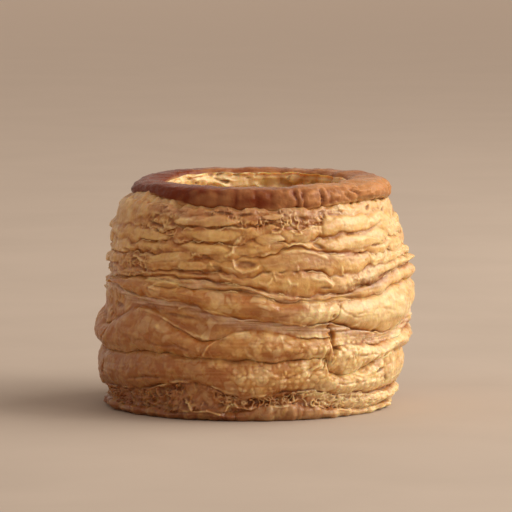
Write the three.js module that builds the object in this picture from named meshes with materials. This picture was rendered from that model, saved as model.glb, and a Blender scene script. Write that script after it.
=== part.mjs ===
// An empty vol-au-vent: a tall case of risen puff pastry with a glazed rim round an open well.
// Millimetres, +Z up. The case stands on z = 0 with its front towards -Y.
import * as THREE from 'three';

// Driving dimensions of the case
const CROWN_HEIGHT = 64.5;
const WIDEST_RADIUS = 44;
const WIDEST_HEIGHT = 27;
const FOOT_TAPER = 3.2;
const SHOULDER_TAPER = 5;
const SHOULDER_HEIGHT = 58;
const FOOT_SHIFT = -2.2;
const SHOULDER_SHIFT = 0.3;
const SHIFT_HEIGHT = 36;

// Driving dimensions of the rim: its section runs between these angles, from under the outer lip
const RIM_OUTER_RADIUS = 36.4;
const RIM_INNER_RADIUS = 25.2;
const RIM_SHIFT = 2.2;
const RIM_WRINKLE_DEPTH = 0.3;
const RIM_MIDDLE_SHARE = 0.45;
const RIM_SECTION_START = -50;
const RIM_SECTION_END = 205;

// Driving dimensions of the well
const WELL_SHIFT = 0.6;
const WELL_SET_BACK = 0.5;
const WELL_FLOOR_HEIGHT = 16;
const WELL_FLOOR_DIP = 0.6;
const WELL_LAYER_HEIGHT = 5.4;
const WELL_LAYER_DEPTH = 0.9;
const WELL_LUMP_DEPTH = 0.4;

// How the layers part: seams never come closer than this, and each is a crease of about this depth
const THINNEST_LAYER = 0.5;
const CREASE_DEPTH = 1.5;
const CREASE_VARIATION = 0.5;
const FOOT_EDGE_ROUNDING = 0.8;
const FOOT_EDGE_SHARE = 0.1;

// The wall is torn open at this angle, where the layers on its right have slipped down
const TEAR_ANGLE = 29;

// How finely the surface is divided
const COLUMNS = 90;
const THICK_LAYER_ROWS = [0, 0.14, 0.5, 0.86];
const THIN_LAYER_ROWS = [0, 0.5];
const RIM_ROWS = 9;
const WELL_ROWS = 9;
const FLOOR_ROW_SHARE = 0.6;

// A swell lifts (or sinks) a seam, centred on an angle in degrees round the case from its front.
// A slip is a swell that stops short at the tear and leaves the layers to its left alone.
const swell = (at, spread, rise) => ({ at, spread, rise, stopsAtTear: false });
const slip = (at, spread, rise) => ({ at, spread, rise, stopsAtTear: true });

// The layers from the foot up. Each has the mean height of its upper seam, the swells of that seam,
// how far the layer puffs out, where it bulges, and how craggy it is where the dough tore into flakes.
const LAYERS = [
  { top: 3, puff: 0.4, crags: 0.35, rows: THIN_LAYER_ROWS, bulges: [],
    swells: [swell(14, 26, 1.6), swell(58, 40, -0.9), swell(-50, 40, -0.4), swell(150, 60, 1.2)] },
  { top: 7.2, puff: -0.7, crags: 0.6, rows: THICK_LAYER_ROWS, bulges: [swell(-140, 50, 0.8)],
    swells: [swell(-26, 30, 3.6), swell(22, 24, 1.4), swell(60, 45, -0.9), swell(165, 40, 3.2)] },
  { top: 17.4, puff: 0.5, crags: 0.2, rows: THICK_LAYER_ROWS, bulges: [swell(-90, 40, 0.6)],
    swells: [swell(-42, 34, 1.2), slip(40, 28, -4.5), swell(135, 50, -3.4), swell(-140, 40, 2.6)] },
  { top: 24.2, puff: 0.8, crags: 0.2, rows: THICK_LAYER_ROWS, bulges: [swell(-90, 50, 0.8)],
    swells: [swell(-48, 30, 6.8), swell(-18, 13, -1.2), swell(-2, 17, 1.8), slip(50, 50, -3.6),
      swell(128, 34, 4.6), swell(-165, 40, -3)] },
  { top: 29, puff: -1.1, crags: 0.3, rows: THIN_LAYER_ROWS, bulges: [swell(150, 40, 1)],
    swells: [swell(-82, 48, 8.8), swell(-34, 30, 5), swell(16, 18, -1.4), swell(60, 50, -5.5),
      swell(105, 40, 3.4), swell(168, 34, 3.8), swell(-150, 34, -2.6)] },
  { top: 37.2, puff: 0.6, crags: 0.2, rows: THICK_LAYER_ROWS, bulges: [swell(-88, 20, -1.2)],
    swells: [swell(-48, 42, 2), swell(12, 20, -0.9), swell(34, 54, -3.3), swell(130, 46, -2),
      swell(-150, 40, -2.4)] },
  { top: 39.8, puff: -0.2, crags: 0.2, rows: THIN_LAYER_ROWS, bulges: [swell(-140, 50, 0.8)],
    swells: [swell(22, 48, -4.4), swell(84, 36, 1.8), swell(150, 40, -2.6), swell(-120, 40, 1.4)] },
  { top: 42.2, puff: 0.2, crags: 0.3, rows: THICK_LAYER_ROWS, bulges: [swell(88, 24, 1.4)],
    swells: [swell(-1, 14, -1.3), swell(31, 15, -2.2), swell(78, 40, 2), swell(-130, 50, 2.4),
      swell(160, 30, -1.8)] },
  { top: 46.4, puff: 0.3, crags: 0.3, rows: THICK_LAYER_ROWS, bulges: [swell(20, 14, 0.5)],
    swells: [swell(15, 17, 2.7), swell(-66, 30, -1), swell(140, 40, 1.8), swell(-165, 30, -1.4)] },
  { top: 50.2, puff: 0.4, crags: 0.2, rows: THICK_LAYER_ROWS, bulges: [swell(-100, 40, 0.5)],
    swells: [swell(38, 22, 1.9), swell(-60, 34, -1.4), swell(-150, 40, 1.8), swell(120, 30, -1.2)] },
  { top: 54.4, puff: 0.2, crags: 0.3, rows: THICK_LAYER_ROWS, bulges: [swell(-95, 40, 0.6)],
    swells: [swell(50, 34, 1.6), swell(-42, 20, -1), swell(150, 50, -1.4), swell(-110, 30, 1)] },
  { top: 59, puff: -0.2, crags: 0.55, rows: THICK_LAYER_ROWS, bulges: [swell(-90, 40, 0.5)],
    swells: [swell(-66, 50, 1.2), swell(62, 40, 1.4), swell(180, 70, 0.8)] },
];

// The rim's outer edge bulges, pinches and splits at these places, and its crown rises and dips.
const RIM_SWELLS = [swell(-92, 12, 1.2), swell(-62, 24, -0.8), swell(27, 5, -1.2), swell(60, 40, 0.8)];
const CROWN_SWELLS = [swell(-70, 40, -0.9), swell(25, 22, 0.5), swell(28, 5, -0.7), swell(170, 60, 0.4)];

const smoothstep = THREE.MathUtils.smoothstep;
const lerp = THREE.MathUtils.lerp;
const radians = THREE.MathUtils.degToRad;
const turnBetween = (from, to) => THREE.MathUtils.euclideanModulo(to - from + 180, 360) - 180;

// Sum of the swells at an angle: each is one raised cosine wave, and the circle closes at 180 degrees.
function swellSum(swells, angle) {
  let sum = 0;
  for (const { at, spread, rise, stopsAtTear } of swells) {
    const apart = turnBetween(at, angle);
    const isLeftOfTear = apart < turnBetween(at, TEAR_ANGLE);
    if (Math.abs(apart) < spread && !(stopsAtTear && isLeftOfTear)) {
      sum += rise * 0.5 * (1 + Math.cos(Math.PI * apart / spread));
    }
  }
  return sum;
}

// Heights of every seam at an angle, from the foot's underside up, kept in order.
function seamHeights(angle) {
  const heights = [0];
  for (const layer of LAYERS) {
    const below = heights[heights.length - 1];
    heights.push(Math.max(layer.top + swellSum(layer.swells, angle), below + THINNEST_LAYER));
  }
  return heights;
}

// Mean outline of the case: a barrel that narrows by one parabola downwards and another upwards.
function bodyRadius(height) {
  if (height < WIDEST_HEIGHT) {
    return WIDEST_RADIUS - FOOT_TAPER * ((WIDEST_HEIGHT - height) / WIDEST_HEIGHT) ** 2;
  }
  const climb = (height - WIDEST_HEIGHT) / (SHOULDER_HEIGHT - WIDEST_HEIGHT);
  return WIDEST_RADIUS - SHOULDER_TAPER * climb ** 2;
}

// The layers crept sideways as they rose.
function bodyShift(height) {
  return lerp(FOOT_SHIFT, SHOULDER_SHIFT, smoothstep(height, 0, SHIFT_HEIGHT));
}

// Small lumps and hollows, between -1 and 1, from waves that share no common period.
function lumps(angle, height) {
  const around = radians(angle);
  const coarse = Math.sin(9 * around + 0.7 * height) * Math.sin(5 * around - 0.4 * height + 1);
  const fine = Math.sin(23 * around - 1.9 * height) * Math.sin(17 * around + 1.3 * height + 2);
  return 0.6 * coarse + 0.4 * fine;
}

// A ring is a function from an angle to { radius, height, shift }, and the case is a stack of rings.
const flatRing = (radius) => () => ({ radius, height: 0, shift: FOOT_SHIFT });

// One row of a layer: its share runs from 0 at the crease below the layer to 1 at the crease above.
function layerRing(index, share) {
  const { puff, crags, bulges } = LAYERS[index];
  const creaseDepth = index === 0 ? FOOT_EDGE_ROUNDING : CREASE_DEPTH;
  const roundness = Math.sqrt(Math.sin(Math.PI * share));
  return (angle) => {
    const heights = seamHeights(angle);
    const height = lerp(heights[index], heights[index + 1], share);
    const crease = creaseDepth * (1 + CREASE_VARIATION * lumps(angle, heights[index]));
    const crown = puff + swellSum(bulges, angle);
    const relief = lerp(-crease, crown, roundness) + crags * lumps(angle, height);
    return { radius: bodyRadius(height) + relief, height, shift: bodyShift(height) };
  };
}

// The rim's section is a flattened round, followed from under its outer lip over the crown to the well.
function rimRing(share) {
  const section = radians(lerp(RIM_SECTION_START, RIM_SECTION_END, share));
  const outwards = 0.5 + 0.5 * Math.cos(section);
  return (angle) => {
    const wrinkles = RIM_WRINKLE_DEPTH * lumps(3 * angle, 0);
    const outer = RIM_OUTER_RADIUS + swellSum(RIM_SWELLS, angle) + wrinkles;
    const crown = CROWN_HEIGHT + swellSum(CROWN_SWELLS, angle);
    const lip = seamHeights(angle)[LAYERS.length];
    const middle = lerp(lip, crown, RIM_MIDDLE_SHARE);
    return {
      radius: lerp(RIM_INNER_RADIUS, outer, outwards),
      height: middle + (crown - middle) * Math.sin(section),
      shift: lerp(WELL_SHIFT, RIM_SHIFT, outwards),
    };
  };
}

// The well's wall shows the torn edges of the same layers as shallow ledges.
function wellRing(share) {
  return (angle) => {
    const top = seamHeights(angle)[LAYERS.length];
    const height = lerp(top, WELL_FLOOR_HEIGHT, share) + (1 - share) * lumps(angle, 0);
    const ledge = Math.sin(2 * Math.PI * height / WELL_LAYER_HEIGHT + 2 * lumps(angle, 0));
    const relief = WELL_LAYER_DEPTH * ledge + WELL_LUMP_DEPTH * lumps(angle, height);
    return { radius: RIM_INNER_RADIUS + WELL_SET_BACK + relief, height, shift: WELL_SHIFT };
  };
}

function floorRing(share) {
  const radius = share * RIM_INNER_RADIUS;
  return (angle) => {
    const height = WELL_FLOOR_HEIGHT - WELL_FLOOR_DIP + share * lumps(2 * angle, 3);
    return { radius, height, shift: WELL_SHIFT };
  };
}

// Every ring in order, from the middle of the underside round to the middle of the well's floor.
function caseRings() {
  const footRadius = bodyRadius(0) - 2 * FOOT_EDGE_ROUNDING;
  const rings = [flatRing(0), flatRing(footRadius / 2), flatRing(footRadius)];
  LAYERS.forEach((layer, index) => {
    const raise = index === 0 ? FOOT_EDGE_SHARE : 0;
    layer.rows.forEach((share) => rings.push(layerRing(index, share + raise)));
  });
  for (let row = 0; row < RIM_ROWS; row++) {
    rings.push(rimRing(row / (RIM_ROWS - 1)));
  }
  for (let row = 0; row < WELL_ROWS; row++) {
    rings.push(wellRing(row / (WELL_ROWS - 1)));
  }
  rings.push(floorRing(FLOOR_ROW_SHARE), floorRing(0));
  return rings;
}

// The case starts as a plain lathe of the front profile, and each vertex then moves to its ring's place.
function caseGeometry() {
  const rings = caseRings();
  const profile = rings.map((ring) => {
    const { radius, height } = ring(0);
    return new THREE.Vector2(radius, height);
  });
  const geometry = new THREE.LatheGeometry(profile, COLUMNS);
  const position = geometry.getAttribute('position');
  for (let index = 0; index < position.count; index++) {
    const column = Math.floor(index / rings.length) % COLUMNS;
    const angle = 360 * column / COLUMNS;
    const { radius, height, shift } = rings[index % rings.length](angle);
    const around = radians(angle);
    position.setXYZ(index, shift + radius * Math.sin(around), -radius * Math.cos(around), height);
  }
  geometry.deleteAttribute('normal');
  geometry.deleteAttribute('uv');
  geometry.computeBoundingBox();
  const middle = geometry.boundingBox.getCenter(new THREE.Vector3());
  geometry.translate(-middle.x, -middle.y, 0);
  geometry.computeVertexNormals();
  return geometry;
}

const bakedPastry = new THREE.MeshStandardMaterial({ color: 0xd9a45c, roughness: 0.6, metalness: 0 });

const pastryCase = new THREE.Mesh(caseGeometry(), bakedPastry);
pastryCase.name = 'pastry_case';

const volAuVent = new THREE.Group();
volAuVent.name = 'vol_au_vent';
volAuVent.add(pastryCase);

export default volAuVent;
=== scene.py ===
# %% [markdown]
# # An empty vol-au-vent
# The object is one baked case of puff pastry: a barrel of risen layers, a glazed brown rim and an open
# well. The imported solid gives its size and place. This lesson puts the real surface in that place: first
# the stack of layers, then the rim, the well, the loose flakes, the finishes and the light.

import math

import bpy
import numpy as np
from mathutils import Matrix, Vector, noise


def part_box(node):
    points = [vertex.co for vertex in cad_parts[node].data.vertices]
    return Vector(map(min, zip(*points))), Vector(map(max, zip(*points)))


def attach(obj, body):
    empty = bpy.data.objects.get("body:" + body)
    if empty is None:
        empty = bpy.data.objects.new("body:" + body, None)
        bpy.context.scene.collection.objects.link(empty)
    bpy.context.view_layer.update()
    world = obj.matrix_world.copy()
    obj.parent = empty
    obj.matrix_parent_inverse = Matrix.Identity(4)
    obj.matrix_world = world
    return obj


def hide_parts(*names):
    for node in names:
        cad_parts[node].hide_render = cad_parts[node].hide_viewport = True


MM = 0.001
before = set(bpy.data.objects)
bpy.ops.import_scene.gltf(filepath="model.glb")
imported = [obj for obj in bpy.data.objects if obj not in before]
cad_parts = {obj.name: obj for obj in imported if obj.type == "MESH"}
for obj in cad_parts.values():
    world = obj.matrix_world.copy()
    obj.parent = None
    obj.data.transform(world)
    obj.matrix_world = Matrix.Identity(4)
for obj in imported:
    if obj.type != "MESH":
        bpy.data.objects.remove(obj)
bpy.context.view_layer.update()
case_low, case_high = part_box("pastry_case")
bpy.ops.object.select_all(action="DESELECT")
print("nodes:", sorted(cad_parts), "box in mm:", [round(v / MM, 1) for v in (*case_low, *case_high)])

# %% [markdown]
# ## Words for a risen layer
# The side of the case is a dozen layers, and the seam on top of each one wanders up and down as it goes
# round. A seam is easiest to keep as a mean height with a few swells on it: each swell is one soft hill or
# dip at an angle. Angles are in degrees round the case from its front, and lengths are in millimetres, as a
# baker's ruler would give them. At one angle the wall has torn, and the layers to the right of the tear
# have slipped down.

# %% Swells
TEAR_ANGLE = 29
TEAR_SOFTNESS = 0.8


def swell(at, spread, rise):
    return at, spread, rise, False


def slip(at, spread, rise):
    return at, spread, rise, True


def smooth(low, high, value):
    """0 below low, 1 above high, and an S-curve between them."""
    share = np.clip((value - low) / (high - low), 0, 1)
    return share * share * (3 - 2 * share)


def ridge(away, width):
    """1 where away is 0, falling to 0 on both sides."""
    return np.exp(-((away / width) ** 2))


def lerp(start, end, share):
    return start + (end - start) * share


def apart(angle, other):
    """Difference of two angles, from -180 to 180 degrees."""
    return (angle - other + 180) % 360 - 180


def swell_sum(swells, angle):
    """Height of a row of swells at each angle."""
    total = np.zeros_like(angle)
    for at, spread, rise, stops_at_tear in swells:
        away = apart(angle, at)
        hill = np.where(np.abs(away) < spread, 0.5 + 0.5 * np.cos(np.pi * away / spread), 0)
        if stops_at_tear:
            hill = hill * smooth(TEAR_ANGLE - TEAR_SOFTNESS, TEAR_ANGLE + TEAR_SOFTNESS, at + away)
        total += rise * hill
    return total


# %% [markdown]
# ## The layers, from the foot up
# Each layer has the mean height of its upper seam, how far it puffs out, how torn it is (0 is a smooth
# skin, 1 is all crumb and flakes), and how pink its pale laminated edge shows. The swells are the hills of
# its seam, the bulges push it outwards, and the rags tear it more in some places than in others.

# %% Layers
LAYERS = [
    dict(name="foot", top=3, puff=0.6, torn=0, crease=0.9, pink=0, rows=13,
         swells=[swell(14, 26, 1.6), swell(58, 40, -0.9), swell(-50, 40, -0.4), swell(150, 60, 1.2)],
         bulges=[], rags=[]),
    dict(name="crumbly", top=7.2, puff=-1.2, torn=0.8, crease=0.8, pink=0.1, rows=20,
         swells=[swell(-26, 30, 3.6), swell(22, 24, 1.4), swell(60, 45, -0.9), swell(165, 40, 3.2)],
         bulges=[swell(-140, 50, 0.8), swell(74, 56, 3.2)], rags=[swell(-15, 14, -0.3)]),
    dict(name="low roll", top=17.4, puff=1.7, torn=0, crease=0.9, pink=0, rows=44,
         swells=[swell(-42, 34, 1.2), slip(40, 28, -4.5), swell(135, 50, -3.4), swell(-140, 40, 2.6)],
         bulges=[swell(-90, 44, -0.5), swell(76, 44, -0.7)], rags=[swell(-78, 16, 0.3)]),
    dict(name="middle roll", top=24.2, puff=1.9, torn=0, crease=0.8, pink=0, rows=34,
         swells=[swell(-48, 30, 6.8), swell(-18, 13, -1.2), swell(-2, 17, 1.8), slip(50, 50, -3.6),
                 swell(128, 34, 4.6), swell(-98, 30, 4.6), swell(-165, 40, -3)],
         bulges=[swell(-90, 40, 0.5)], rags=[]),
    dict(name="groove", top=29, puff=-1.0, torn=0.05, crease=0.7, pink=1, rows=20,
         swells=[swell(-76, 44, 8), swell(-34, 30, 5), swell(16, 18, -1.4), swell(60, 50, -5.5),
                 swell(105, 40, 3.4), swell(168, 34, 3.8), swell(-150, 34, -2.6)],
         bulges=[swell(150, 40, 1), swell(-90, 36, 0.4), swell(92, 34, 1.8)], rags=[swell(-72, 22, 0.45)]),
    dict(name="broad roll", top=37.2, puff=1.8, torn=0, crease=0.85, pink=0, rows=38,
         swells=[swell(-48, 42, 2), swell(12, 20, -0.9), swell(34, 54, -3.3), swell(130, 46, -2),
                 swell(-150, 40, -2.4)],
         bulges=[swell(-88, 28, -1.8), swell(90, 30, 0.2)], rags=[]),
    dict(name="strip", top=39.8, puff=0.4, torn=0, crease=1.0, pink=0.4, rows=11,
         swells=[swell(22, 48, -4.4), swell(84, 36, 1.8), swell(150, 40, -2.6), swell(-120, 40, 1.4)],
         bulges=[swell(-150, 50, 0.8), swell(-90, 34, -1.2), swell(90, 28, 2)], rags=[swell(-20, 20, 0.2)]),
    dict(name="flaky roll", top=42.2, puff=0.5, torn=0.2, crease=0.8, pink=0.1, rows=12,
         swells=[swell(-1, 14, -1.3), swell(31, 15, -2.2), swell(78, 40, 2), swell(-130, 50, 2.4),
                 swell(160, 30, -1.8)],
         bulges=[swell(88, 28, 2.4), swell(-90, 34, -1.2)], rags=[swell(52, 20, 0.5), swell(-45, 20, 0.25)]),
    dict(name="amber roll", top=46.4, puff=0.6, torn=0.25, crease=0.6, pink=0, rows=17,
         swells=[swell(15, 17, 2.7), swell(-66, 30, -1), swell(140, 40, 1.8), swell(-165, 30, -1.4)],
         bulges=[swell(20, 14, 0.5), swell(-90, 34, -1), swell(88, 24, 0.6)],
         rags=[swell(56, 20, 0.5), swell(16, 16, -0.6), swell(-52, 22, 0.4)]),
    dict(name="upper roll", top=50.2, puff=0.7, torn=0.25, crease=0.5, pink=0, rows=16,
         swells=[swell(38, 22, 1.9), swell(-60, 34, -1.4), swell(-150, 40, 1.8), swell(120, 30, -1.2)],
         bulges=[swell(-94, 40, -0.7)],
         rags=[swell(46, 24, -0.4), swell(-82, 26, -0.3), swell(-42, 20, 0.35)]),
    dict(name="top roll", top=54.4, puff=0.6, torn=0.35, crease=0.5, pink=0, rows=17,
         swells=[swell(50, 34, 1.6), swell(-42, 20, -1), swell(150, 50, -1.4), swell(-110, 30, 1)],
         bulges=[swell(-90, 40, 1.2)],
         rags=[swell(-42, 22, 0.5), swell(46, 20, -0.5), swell(72, 14, 0.3), swell(-85, 34, -0.5)]),
    dict(name="under the rim", top=59, puff=-0.1, torn=0.55, crease=0.6, pink=0.2, rows=17,
         swells=[swell(-80, 52, 2.0), swell(62, 40, 1.4), swell(180, 70, 0.8)],
         bulges=[swell(-88, 40, 1.5)],
         rags=[swell(-42, 14, 0.25), swell(-84, 44, -0.9), swell(50, 22, -0.4)]),
]
PLAIN_SEAMS = np.array([0] + [layer["top"] for layer in LAYERS], float)
TOP_LAYER = len(LAYERS) - 1


def layer_values(key):
    return np.array([layer[key] for layer in LAYERS], float)


print(len(LAYERS), "layers, the top seam at", LAYERS[-1]["top"], "mm")

# %% [markdown]
# ## Seams that wander
# Besides its swells a seam has small wanderings of its own. Reading a noise along a circle gives waves that
# close on themselves round the case, and moving the circle up for each seam gives every seam its own waves.
# The same noise says where one layer's edge stands out over the next one, and where it is drawn in. A seam
# gapes in some places and is shut in others, and the upper seams closed most as they baked.

# %% Seams
THINNEST_LAYER = 0.5
LAST_LOWER_SEAM = 6
UPPER_WANDER = 1.9
SEAM_STEP = 7.3
NOISE_GAIN = 1.6
HALF_CLOSED = 0.36
CLOSED = [swell(-64, 44, 0.5), swell(66, 30, 0.25)]


def ring_noise(angle, waves, number):
    """Soft noise from about -1 to 1 round the case. More waves make shorter hills; number picks a ring."""
    around = np.radians(angle)
    ring = np.column_stack((waves * np.sin(around), -waves * np.cos(around), SEAM_STEP * number + 0 * around))
    return NOISE_GAIN * np.array([noise.noise(point) for point in ring.tolist()])


def seam_heights(angle):
    """Height of every seam at each angle, from the underside up, kept in order."""
    heights = [np.zeros_like(angle)]
    for number, layer in enumerate(LAYERS):
        loose = UPPER_WANDER if number > LAST_LOWER_SEAM else 1
        wanders = loose * (0.5 * ring_noise(angle, 5, number) + 0.3 * ring_noise(angle, 16, number))
        wanted = layer["top"] + swell_sum(layer["swells"], angle) + wanders
        heights.append(np.maximum(wanted, heights[-1] + THINNEST_LAYER))
    return np.array(heights)


def how_closed(angle, seam):
    """0 on the lower seams, and above 0 on the upper ones, which closed again in places as they baked."""
    return np.where(seam > LAST_LOWER_SEAM + 1, HALF_CLOSED + swell_sum(CLOSED, angle), 0)


def seam_opening(angle, seam):
    """How far a seam gapes: about 1 where it is deep, and 0 where it closed."""
    closed = how_closed(angle, seam)
    gape = 0.55 - closed + (0.6 + np.minimum(closed, HALF_CLOSED)) * ring_noise(angle, 6, seam + 40)
    return np.clip(gape, np.maximum(0.15 - closed / 2, 0), 1.2)


def overhang(angle, seam):
    """Above 0 where the layer over a seam stands out, and below 0 where the layer under it does."""
    hang = np.clip(1.3 * ring_noise(angle, 4, seam + 20) + 0.4 * ring_noise(angle, 13, seam + 20), -1, 1)
    hang = hang * (1 - 0.7 * np.clip(how_closed(angle, seam), 0, 1))
    return np.where((seam == 0) | (seam == len(LAYERS)), 0, hang)


# %% [markdown]
# ## The barrel
# The mean outline is a barrel: widest a little below half height, with one parabola down to the foot and
# another up to the shoulder. The layers crept sideways as they rose, so the axis leans a little. The solid
# was moved to stand in the middle of its own box, so the same small move is part of the lean here.

# %% Barrel outline
WIDEST_RADIUS = 43.6
WIDEST_HEIGHT = 27
FOOT_TAPER = 3.2
SHOULDER_TAPER = 5
SHOULDER_HEIGHT = 58
CENTRING = 0.66
FOOT_SHIFT = -2.2 + CENTRING
SHOULDER_SHIFT = 0.3 + CENTRING
SHIFT_HEIGHT = 36


def body_radius(height):
    below = (WIDEST_HEIGHT - height) / WIDEST_HEIGHT
    above = (height - WIDEST_HEIGHT) / (SHOULDER_HEIGHT - WIDEST_HEIGHT)
    return WIDEST_RADIUS - np.where(height < WIDEST_HEIGHT, FOOT_TAPER * below**2, SHOULDER_TAPER * above**2)


def body_shift(height):
    return lerp(FOOT_SHIFT, SHOULDER_SHIFT, smooth(0, SHIFT_HEIGHT, height))


def round_axis(angle, radius, height, shift):
    """Points in mm at an angle, a radius from an upright axis that is shifted sideways, and a height."""
    around = np.radians(angle)
    return np.column_stack((shift + radius * np.sin(around), -radius * np.cos(around), height))


def on_barrel(angle, radius, height):
    """Points in mm round the leaning axis of the barrel."""
    return round_axis(angle, radius, height, body_shift(height))


# %% [markdown]
# ## Noise with a grain
# Dough has a grain: it is pulled out round the case and thin from layer to layer. Blender's own noise
# functions give soft lumps and cells, and stretching the height before they are read makes every lump long
# and low. A stretch below 1 does the opposite, which suits wrinkles that run up and down.

# %% Noise helpers
SEED_STEP = 31.7


def lumps(points, size, stretch, seed):
    """Soft noise from about -1 to 1. A lump is about size mm long and size / stretch mm tall."""
    scaled = points / size * (1, 1, stretch) + seed * SEED_STEP
    return NOISE_GAIN * np.array([noise.noise(point) for point in scaled.tolist()])


def puckers(points, size, stretch, seed, roundness, level):
    """Puffs with drawn-in lines between them. Level sets their mean near 0, and roundness opens the lines."""
    return np.sqrt(lumps(points, size, stretch, seed) ** 2 + roundness) - level


def cells(points, size, stretch, seed):
    """Distances to the nearest cell's centre and border, and a fixed chance from 0 to 1 for each cell."""
    scaled = points / size * (1, 1, stretch) + seed * SEED_STEP
    found = [noise.voronoi(point) for point in scaled.tolist()]
    nearest = np.array([distances[0] for distances, centres in found])
    border = np.array([distances[1] - distances[0] for distances, centres in found])
    centre = np.array([centres[0][:] for distances, centres in found])
    chance = np.sin(centre @ (12.99, 78.23, 37.72)) * 43758.5 % 1
    return nearest, border, chance


# %% [markdown]
# ## A plain stack of layers
# A wall is modelled as it would be by hand: a circle, extruded once for each layer, and turned in at both
# ends so that it is closed. Cutting the rings of upright edges gives each layer its own number of rows.
# Nothing is wavy yet, and that is useful: the plain height of a vertex still tells its layer and its place
# in that layer.

# %% Modelling helpers
COLUMNS = 960
PLAIN_RADIUS = 44
CORE_RADIUS = 27
CAP_EDGE_RADIUS = 41
CAP_INNER_RADIUS = 34
CLOSING_RADIUS = 2
TOLERANCE = 0.01
RADIUS_TOLERANCE = 0.05
SOFTENING_ROUNDS = 30


def coords(piece):
    """Vertex places in mm."""
    flat = np.empty(len(piece.data.vertices) * 3, np.float32)
    piece.data.vertices.foreach_get("co", flat)
    return flat.reshape(-1, 3).astype(float) / MM


def set_coords(piece, places):
    piece.data.vertices.foreach_set("co", (places * MM).astype(np.float32).ravel())
    piece.data.update()


def keep_bake(piece, marks):
    """Keeps four marks for each vertex as a colour attribute that the finishes read."""
    bake = piece.data.attributes.new("bake", "FLOAT_COLOR", "POINT")
    bake.data.foreach_set("color", np.clip(marks, 0, 1).astype(np.float32).ravel())


def edge_ends(piece):
    """The two vertex numbers of every edge."""
    ends = np.empty(len(piece.data.edges) * 2, np.int32)
    piece.data.edges.foreach_get("vertices", ends)
    return ends.reshape(-1, 2)


def hollowness(piece):
    """How far each vertex lies under its surroundings in mm: above 0 in hollows and below 0 on ridges."""
    places = coords(piece)
    ends = edge_ends(piece)
    start, end = ends[:, 0], ends[:, 1]
    count = len(places)
    neighbours = np.bincount(ends.ravel(), minlength=count)
    soft = places.copy()
    for again in range(SOFTENING_ROUNDS):
        for axis in range(3):
            value = soft[:, axis]
            total = np.bincount(start, value[end], count) + np.bincount(end, value[start], count)
            soft[:, axis] = (value + total / neighbours) / 2
    normals = np.empty(count * 3, np.float32)
    piece.data.vertices.foreach_get("normal", normals)
    return ((soft - places) * normals.reshape(-1, 3)).sum(1)


def start_circle(name, radius, height, fill="NOTHING", columns=COLUMNS):
    """A new piece in edit mode that begins as a circle, with its outer loop selected."""
    bpy.ops.object.select_all(action="DESELECT")
    bpy.ops.mesh.primitive_circle_add(vertices=columns, radius=radius * MM, fill_type=fill,
                                      enter_editmode=True)
    piece = bpy.context.object
    piece.name = name
    bpy.ops.transform.translate(value=(0, 0, height * MM))
    bpy.ops.mesh.select_mode(type="EDGE")
    if fill != "NOTHING":
        bpy.ops.mesh.region_to_loop()
    return piece


def extrude_up(rise):
    bpy.ops.mesh.extrude_region_move(TRANSFORM_OT_translate={"value": (0, 0, rise * MM)})


def extrude_to_radius(start, end):
    """Extrudes the selected loop level, from one radius to another."""
    bpy.ops.mesh.extrude_region_move()
    bpy.ops.transform.resize(value=(end / start, end / start, 1))


def close_ring():
    """Joins the two open loops of a wall."""
    bpy.ops.mesh.select_all(action="DESELECT")
    bpy.ops.mesh.select_non_manifold()
    bpy.ops.mesh.bridge_edge_loops()


def finish_modelling():
    bpy.ops.mesh.select_all(action="SELECT")
    bpy.ops.mesh.normals_make_consistent(inside=False)
    bpy.ops.object.mode_set(mode="OBJECT")
    bpy.ops.object.shade_smooth()


def cut_upright_edges(piece, low, high, radius, rows):
    """Cuts the ring of upright edges between two heights at this radius into a number of rows."""
    ends = coords(piece)[edge_ends(piece)]
    upright = np.abs(ends[:, 0, 2] - ends[:, 1, 2]) > TOLERANCE
    inside = (ends[:, :, 2].min(1) > low - TOLERANCE) & (ends[:, :, 2].max(1) < high + TOLERANCE)
    at_radius = (np.abs(np.hypot(ends[:, :, 0], ends[:, :, 1]) - radius) < RADIUS_TOLERANCE).all(1)
    bpy.ops.object.mode_set(mode="EDIT")
    bpy.ops.mesh.select_all(action="DESELECT")
    bpy.ops.object.mode_set(mode="OBJECT")
    piece.data.edges.foreach_set("select", upright & inside & at_radius)
    bpy.ops.object.mode_set(mode="EDIT")
    bpy.ops.mesh.subdivide_edgering(number_cuts=rows - 1, interpolation="LINEAR")
    bpy.ops.object.mode_set(mode="OBJECT")


# %% Stack the three walls
UNDERSIDE_RADII = [4, 10, 16, 22, 28, 34, 38, 40.5, 42.5]
SHOULDER_RADII = [43.3, 42.5, 41.6, 40.6, 39.4, 38, 36, 33, 30]


def stack_wall(name, first, last):
    """A closed plain wall from layer number first to layer number last."""
    bottom = PLAIN_SEAMS[first]
    is_foot = first == 0
    is_shoulder = last == TOP_LAYER
    radii = UNDERSIDE_RADII if is_foot else [CORE_RADIUS, CAP_EDGE_RADIUS]
    piece = start_circle(name, radii[0], bottom, "TRIFAN" if is_foot else "NOTHING")
    for start, end in zip(radii, radii[1:] + [PLAIN_RADIUS]):
        extrude_to_radius(start, end)
    for number in range(first, last + 1):
        extrude_up(PLAIN_SEAMS[number + 1] - PLAIN_SEAMS[number])
    radii = [PLAIN_RADIUS] + (SHOULDER_RADII if is_shoulder else [CAP_EDGE_RADIUS, CAP_INNER_RADIUS])
    for start, end in zip(radii, radii[1:]):
        extrude_to_radius(start, end)
    if is_foot:
        extrude_to_radius(radii[-1], CLOSING_RADIUS)
        bpy.ops.mesh.merge(type="CENTER")
    else:
        close_ring()
    finish_modelling()
    for number in range(first, last + 1):
        low, high = PLAIN_SEAMS[number], PLAIN_SEAMS[number + 1]
        cut_upright_edges(piece, low, high, PLAIN_RADIUS, LAYERS[number]["rows"])
    print(name, "stacked with", len(piece.data.vertices), "vertices")
    return piece


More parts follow.
